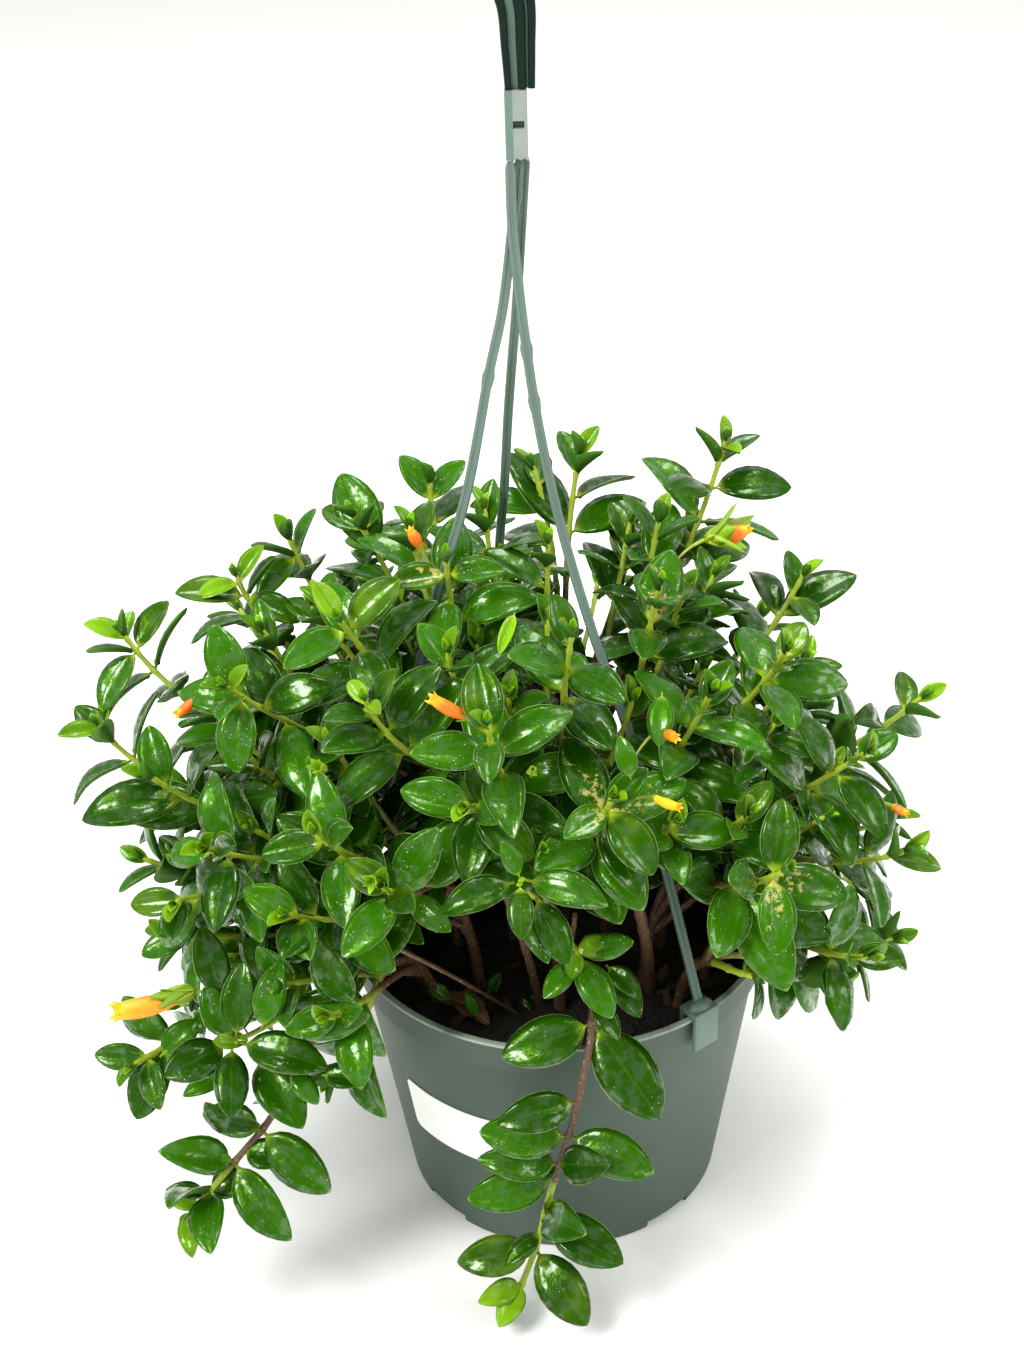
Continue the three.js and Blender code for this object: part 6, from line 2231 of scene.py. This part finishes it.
class GOLDFISH_OT_label(GoldfishOperator):
    """Wrap the blank label round the pot wall"""

    bl_idname = "goldfish.label"
    bl_label = "Label"

    def execute(self, context):
        looks = context.scene.goldfish_pot
        half, tall, corner = LABEL["width"] / 2, LABEL["height"], LABEL["corner"]
        rise = np.concatenate([
            corner * (1 - np.cos(np.linspace(0, math.pi / 2, 7))), [tall / 3, tall / 2, tall * 2 / 3],
            tall - corner * (1 - np.cos(np.linspace(math.pi / 2, 0, 7)))])
        middle = wall_radius(LABEL["low"] + tall / 2)
        columns, points = 48, []
        for depth in (LABEL["gap"] + LABEL["thick"], LABEL["gap"]):
            for height in rise:
                near = min(height, tall - height)
                cut = corner - math.sqrt(max(corner ** 2 - max(corner - near, 0) ** 2, 0))
                for i in range(columns + 1):
                    x = (half - cut) * (2 * i / columns - 1)
                    angle = math.radians(LABEL["turn"]) + x / middle
                    radius = wall_radius(LABEL["low"] + height) + depth
                    points.append((
                        radius * math.cos(angle), radius * math.sin(angle), LABEL["low"] + height))
        piece = smooth_piece("label_sheet", points, slab_faces(columns + 1, len(rise)), 40)
        finish_piece(piece, label_paint(looks), "label", "label")
        return {"FINISHED"}


def soil_height(x, y):
    relief = math.sin(x * 0.31 + 1) * math.cos(y * 0.27) + 0.5 * math.sin(x * 0.13 - y * 0.21)
    fine = math.sin(x * 0.9 + 2 * math.sin(y * 0.5)) * math.cos(y * 1.1 + 1.5 * math.sin(x * 0.4))
    return SOIL["top"] + SOIL["bump"] * relief + 0.5 * fine


class GOLDFISH_OT_soil(GoldfishOperator):
    """Fill the pot with rough potting mix"""

    bl_idname = "goldfish.soil"
    bl_label = "Soil"

    def execute(self, context):
        looks = context.scene.goldfish_pot
        rim = wall_radius(SOIL["top"]) - POT["wall"] - 0.25
        low, foot = POT["floor"] + SOIL["gap"], POT["foot_radius"] - POT["wall"] - 0.8
        rings = [(radius, None) for radius in np.linspace(2, rim - 0.4, 34)][::-1]
        profile = [(0, low), (foot, low), (mix(foot, rim, 0.5), mix(low, SOIL["top"], 0.5))]
        profile += [(rim, SOIL["top"] - 1.5)] + rings + [(0, soil_height(0, 0))]

        def rough(radius, height, angle):
            if height is None:
                x, y = radius * math.cos(angle), radius * math.sin(angle)
                return radius, soil_height(x, y)
            return radius, height

        points, faces = lathe(profile, np.arange(110) * 2 * math.pi / 110, rough)
        piece = smooth_piece("soil_heap", points, faces, 80)
        finish_piece(piece, soil_paint(looks), "soil", "soil")
        return {"FINISHED"}


def crumb_master(name, proportions, seed, collection):
    """A lump with a broken surface, fit to be copied many times."""
    random = SeededRandom(seed)
    shape = bmesh.new()
    bmesh.ops.create_icosphere(shape, subdivisions=1, radius=0.5)
    for vert in shape.verts:
        vert.co *= 0.75 + 0.5 * random()
        vert.co.x *= proportions[0]
        vert.co.y *= proportions[1]
        vert.co.z *= proportions[2]
    mesh = bpy.data.meshes.new(name)
    shape.to_mesh(mesh)
    shape.free()
    collection.objects.link(bpy.data.objects.new(name, mesh))


class GOLDFISH_OT_crumbs(GoldfishOperator):
    """Strew crumbs and bark bits over the soil"""

    bl_idname = "goldfish.crumbs"
    bl_label = "Crumbs and bark"

    def execute(self, context):
        looks = context.scene.goldfish_pot
        kinds, scatter = bpy.data.collections.new("Crumb forms"), Scatter()
        random = SeededRandom(SEEDS["crumbs"])
        forms = ((1, 0.8, 0.7), (1, 0.9, 0.8), (1.5, 0.6, 0.4), (1.8, 0.5, 0.35), (1.2, 0.8, 0.4))
        for index, proportions in enumerate(forms):
            crumb_master(f"crumb_form_{index}", proportions, index + 3, kinds)
        rim = wall_radius(SOIL["top"]) - POT["wall"] - 4
        for _ in range(looks.crumbs):
            reach, bearing = rim * math.sqrt(random()), random() * 2 * math.pi
            x, y = reach * math.cos(bearing), reach * math.sin(bearing)
            size = 1.4 + 6.5 * random() ** 5
            heading = unit(np.array([random() - 0.5, random() - 0.5, (random() - 0.5) * 0.5]))
            face = unit(np.array([random() - 0.5, random() - 0.5, 1.2]))
            kind = int(random() * 2) if size < 2.4 else 2 + int(random() * 3)
            spot = np.array([x, y, soil_height(x, y) + size * 0.08])
            scatter.add(spot, heading, face, (size, size, size), kind, 0.5, random())
        piece = scatter.piece("crumbs", scatter_tree(), kinds, 1.0, bark_paint(looks))
        finish_piece(piece, None, "soil")
        clear_collection(kinds)
        return {"FINISHED"}


class GOLDFISH_OT_dead_leaf(GoldfishOperator):
    """Lay the curled dead leaf on the soil"""

    bl_idname = "goldfish.dead_leaf"
    bl_label = "Dead leaf"

    def execute(self, context):
        shape = {"fold": 0.5, "dome": 0.1, "droop": 0.05, "curl": 0.9, "ripple": 0.35,
                 "twist": 0.3, "thick": 0.03}
        points, faces, tags, _ = blade(shape)
        heading = unit(np.array([0.83, -0.55, 0]))
        side = np.cross(UP, heading)
        root = np.array([-44, -34, SOIL["top"] + 3.2])
        spots = [root + 22 * (x * heading + y * side + z * UP) for x, y, z in points]
        piece = smooth_piece("dead_leaf_blade", spots, faces, 180, tags)
        finish_piece(
            piece, dead_leaf_paint(context.scene.goldfish_pot), "dead_leaf", "dead_leaf")
        return {"FINISHED"}


# Hanger pieces.

GROOVED = [(-1.6, -0.7), (-1.35, -1), (-0.55, -1), (-0.35, -0.72), (0.35, -0.72), (0.55, -1),
           (1.35, -1), (1.6, -0.7), (1.6, 0.7), (1.35, 1), (0.55, 1), (0.35, 0.72),
           (-0.35, 0.72), (-0.55, 1), (-1.35, 1), (-1.6, 0.7)]
# Moulding nubs on the strands, in pixels.
NUBS = {"front": [(512, 352), (531, 403)], "left": [(507, 193), (486, 379)], "back": []}


def turned(points, bearing):
    """Points turned about the pot's axis."""
    x, y = math.cos(bearing), math.sin(bearing)
    return points @ np.array([[x, y, 0], [-y, x, 0], [0, 0, 1]])


def clip_shape(bearing):
    """A hooked clip over the rim: an outer tab, a cap and a short inner leg."""
    outside = POT["top_radius"] + CLIP["gap"]
    inside = POT["top_radius"] - POT["wall"] - CLIP["leg_inset"]
    top, thick, half = POT["height"] + CLIP["gap"], CLIP["thick"], CLIP["width"] / 2
    outline = [
        (outside, CLIP["low"]), (outside + thick, CLIP["low"]), (outside + thick, top + CLIP["cap"]),
        (inside - thick, top + CLIP["cap"]), (inside - thick, CLIP["leg_low"]),
        (inside, CLIP["leg_low"]), (inside, top), (outside, top)]
    count, points = len(outline), []
    for side in (-half, half):
        points += [(radius, side, height) for radius, height in outline]
    faces = [(0, 1, 2, 7), (2, 3, 6, 7), (3, 4, 5, 6)]
    faces += [tuple(count + corner for corner in face)[::-1] for face in faces]
    faces += [(i, count + i, count + (i + 1) % count, (i + 1) % count) for i in range(count)]
    points, faces = bevel_edges(points, faces, 0.55, 3)
    return turned(points, bearing), faces


def boss_shape(foot, bearing):
    """The rounded half-disc on top of a clip, where its strand begins."""
    profile = [(0, 0)] + [
        (5.2 * math.cos(a), 3.4 * math.sin(a)) for a in np.linspace(0, math.pi / 2, 7)[:-1]]
    profile += [(0, 3.4)]
    points, faces = lathe(profile, np.arange(28) * 2 * math.pi / 28)
    points[:, 0] *= 0.62
    top = POT["height"] + CLIP["gap"] + 1.6
    return turned(points, bearing) + [foot[0], foot[1], top], faces


class GOLDFISH_OT_strands(GoldfishOperator):
    """Draw the three grooved strands with their clips"""

    bl_idname = "goldfish.strands"
    bl_label = "Hanger strands"

    def execute(self, context):
        looks = context.scene.goldfish_hanger
        paint = strand_paint(looks)
        for side, route in STRAND_ROUTES.items():
            line, foot = spline(route), np.array(route[0], float)
            outward, facing = outward_at(foot), np.array([0, math.copysign(1, foot[1]), 0])
            nubs = [share_nearest(line, pixel) for pixel in NUBS[side]]

            def hint(share, outward=outward, facing=facing):
                return mix(outward, facing, min(share / STRAND["flat_from"], 1))

            def size(share, line=line, nubs=nubs):
                swell = [math.exp(-(((share - nub) * line.length / 1.6) ** 2)) for nub in nubs]
                rounded = 1 - 0.45 * max((share - 0.992) / 0.008, 0) ** 2
                return (1 + 0.35 * sum(swell)) * rounded

            rod = sweep(line, GROOVED, looks.steps, hint, size)
            bearing = bearing_of(foot)
            points, faces = join_parts([rod, clip_shape(bearing), boss_shape(foot, bearing)])
            piece = smooth_piece(f"strand_{side}", points, faces, 40)
            finish_piece(piece, paint, "strand", f"hanger_strand_{side}")
        return {"FINISHED"}


class GOLDFISH_OT_shank(GoldfishOperator):
    """Mould the milky shank with its slot and the arches at its foot"""

    bl_idname = "goldfish.shank"
    bl_label = "Hanger shank"

    def execute(self, context):
        looks = context.scene.goldfish_hanger
        half, deep = HEAD["shank_width"] / 2, HEAD["shank_depth"] / 2
        low, high = HEAD["shank_low"], HEAD["shank_top"]
        stations = [-1, -0.93, -0.3, -0.28, 0, 0.2, 0.4, 0.42, 0.6, 0.7, 0.72, 0.93, 1]
        levels = [0, 0.04, 0.2, 0.42, 0.47, 0.48, 0.57, 0.58, 0.8, 0.96, 1]
        points, dark = [], []
        for front in (True, False):
            for level in levels:
                for across in stations:
                    slot = front and -0.29 < across < 0.71 and 0.475 < level < 0.575
                    foot = 0.9 * abs(math.sin(math.pi * (across + 1) * 1.5)) * (1 - level) ** 6
                    inset = 0.35 * (abs(across) == 1) + 0.3 * (level in (0, 1))
                    depth = deep * mix(1, 0.9, level) - inset - (1.6 if slot else 0)
                    x = HEAD["shank_x"] + half * across * (1 - 0.03 * (level in (0, 1)))
                    y = -depth if front else depth
                    points.append((x, y, mix(low, high, level) + foot))
                    dark.append(1.0 if slot else 0.0)
        faces = slab_faces(len(stations), len(levels))
        piece = smooth_piece("shank_body", points, faces, 35, {"slot": dark})
        finish_piece(piece, shank_paint(looks), "shank", "hanger_shank")
        return {"FINISHED"}


def hook_line():
    route = [(x, 0, z) for x, z in HEAD["hook_route"]]
    for i in range(HEAD["hook_points"]):
        turn = math.radians(mix(*HEAD["hook_turn"], i / (HEAD["hook_points"] - 1)))
        x, z = HEAD["hook_eye"]
        radius = HEAD["hook_radius"]
        route.append((x + radius * math.cos(turn), 0, z + radius * math.sin(turn)))
    return spline(route)


def hook_width(share):
    return float(np.interp(share, [0, 0.3, 0.6, 1], HEAD["hook_widths"]))


class GOLDFISH_OT_hook(GoldfishOperator):
    """Bend the ribbed hook"""

    bl_idname = "goldfish.hook"
    bl_label = "Hook"

    def execute(self, context):
        line, points, rib = hook_line(), [], []
        half = HEAD["hook_depth"] / 2
        ridge = [(-0.5, 0.8), (-0.47, 1), (-0.31, 1), (-0.28, 0.8), (-0.27, 0.45), (-0.07, 0.45),
                 (-0.06, 0.8), (-0.03, 1), (0.18, 1), (0.21, 0.8), (0.22, 0.5), (0.27, 0.5),
                 (0.28, 0.8), (0.31, 1), (0.47, 1), (0.5, 0.8)]
        section = [(x, -y) for x, y in ridge] + [(x, y) for x, y in ridge[::-1]]
        steps, count = 90, len(section)
        for share in np.linspace(0, 1, steps + 1):
            heading = line.heading(share)
            side = unit(np.cross(np.array([0, 1.0, 0]), heading))
            end = 1 - 0.12 * max((share - 0.97) / 0.03, 0)
            for x, y in section:
                spot = line.at(share) + side * x * hook_width(share) * end
                points.append(spot + np.array([0, y * half * end, 0]))
                rib.append(1.0 if abs(y) > 0.7 else 0.0)
        faces = ring_faces(steps + 1, count)
        faces.append(tuple(range(count)))
        faces.append(tuple(steps * count + j for j in range(count))[::-1])
        piece = smooth_piece("hook_body", points, faces, 35, {"rib": rib})
        keep_in_box(piece)
        finish_piece(
            piece, hook_paint(context.scene.goldfish_hanger), "hook", "hanger_hook")
        return {"FINISHED"}


# Stage.


def area_light(name, place, target, width, height, power):
    data = bpy.data.lights.new(name, "AREA")
    data.shape, data.size, data.size_y, data.energy = "RECTANGLE", width, height, power
    lamp = bpy.data.objects.new(name, data)
    lamp.location = place
    lamp.rotation_euler = (Vector(target) - Vector(place)).to_track_quat("-Z", "Y").to_euler()
    bpy.context.scene.collection.objects.link(lamp)
    return lamp


class GOLDFISH_OT_stage(GoldfishOperator):
    """Set the floor, the lights and the camera of the photograph"""

    bl_idname = "goldfish.stage"
    bl_label = "Stage"

    def execute(self, context):
        looks = context.scene.goldfish_stage
        half, depth = looks.floor_size / 2, -0.0003
        corners = [(x * half, y * half, depth) for x, y in ((-1, -1), (1, -1), (1, 1), (-1, 1))]
        sheet = make_mesh("studio_floor", corners, [(0, 1, 2, 3)], scale=1)
        floor = link_object("studio_floor", sheet)
        floor.data.materials.append(floor_paint(looks))
        lamps = [
            area_light("Key light", (-0.9, -0.9, 1.5), (0, 0, 0.18), 0.6, 0.8, looks.key),
            area_light("Top light", (0.1, 0.35, 1.7), (0, 0, 0.15), 0.8, 0.7, looks.top),
            area_light("Fill light", (1.2, -0.5, 1.1), (0, 0, 0.15), 0.7, 1.0, looks.fill),
        ]
        world = bpy.data.worlds.new("Studio")
        world.use_nodes = True
        sky = world.node_tree.nodes["Background"]
        sky.inputs["Color"].default_value = (1.0, 0.995, 0.985, 1)
        sky.inputs["Strength"].default_value = looks.sky
        context.scene.world = world
        context.scene.view_settings.view_transform = "Standard"
        self.add_camera(context)
        return {"FINISHED"}

    @staticmethod
    def add_camera(context):
        data = bpy.data.cameras.new("Photo camera")
        data.sensor_fit, data.sensor_height = "VERTICAL", CAMERA["sensor"]
        data.lens = CAMERA["focal"] / CAMERA["height"] * CAMERA["sensor"]
        data.clip_start, data.clip_end = 0.01, 50
        data.dof.use_dof = False
        camera = bpy.data.objects.new("Photo camera", data)
        axes = np.eye(4)
        axes[:3, 0], axes[:3, 1], axes[:3, 2] = RIGHT, TOP, -FORWARD
        axes[:3, 3] = EYE * MM
        camera.matrix_world = Matrix(axes.tolist())
        context.scene.collection.objects.link(camera)
        context.scene.camera = camera


PIECES = (
    GOLDFISH_OT_pot,
    GOLDFISH_OT_label,
    GOLDFISH_OT_soil,
    GOLDFISH_OT_crumbs,
    GOLDFISH_OT_dead_leaf,
    GOLDFISH_OT_strands,
    GOLDFISH_OT_shank,
    GOLDFISH_OT_hook,
    GOLDFISH_OT_foliage,
    GOLDFISH_OT_stems,
    GOLDFISH_OT_blooms,
    GOLDFISH_OT_calyces,
    GOLDFISH_OT_stage,
)
SETTINGS = {
    "goldfish_foliage": GOLDFISH_PG_foliage,
    "goldfish_bloom": GOLDFISH_PG_bloom,
    "goldfish_pot": GOLDFISH_PG_pot,
    "goldfish_hanger": GOLDFISH_PG_hanger,
    "goldfish_stage": GOLDFISH_PG_stage,
}


class GOLDFISH_PT_panel(bpy.types.Panel):
    """Lists every piece of the plant and its settings"""

    bl_label = "Potted goldfish plant"
    bl_space_type = "VIEW_3D"
    bl_region_type = "UI"
    bl_category = "Goldfish plant"

    def draw(self, context):
        column = self.layout.column(align=True)
        for piece in PIECES:
            column.operator(piece.bl_idname)
        for key, group in SETTINGS.items():
            box = self.layout.box()
            box.label(text=group.__doc__)
            for setting in group.__annotations__:
                box.prop(getattr(context.scene, key), setting)


def register():
    for group in SETTINGS.values():
        bpy.utils.register_class(group)
    for key, group in SETTINGS.items():
        setattr(bpy.types.Scene, key, bpy.props.PointerProperty(type=group))
    for piece in PIECES:
        bpy.utils.register_class(piece)
    bpy.utils.register_class(GOLDFISH_PT_panel)


def unregister():
    bpy.utils.unregister_class(GOLDFISH_PT_panel)
    for piece in reversed(PIECES):
        bpy.utils.unregister_class(piece)
    for key, group in SETTINGS.items():
        delattr(bpy.types.Scene, key)
        bpy.utils.unregister_class(group)


def main():
    register()
    for piece in PIECES:
        done = getattr(bpy.ops.goldfish, piece.bl_idname.split(".")[1])()
        if done != {"FINISHED"}:
            raise RuntimeError(f"{piece.bl_label} was not built")


if __name__ == "__main__":
    main()
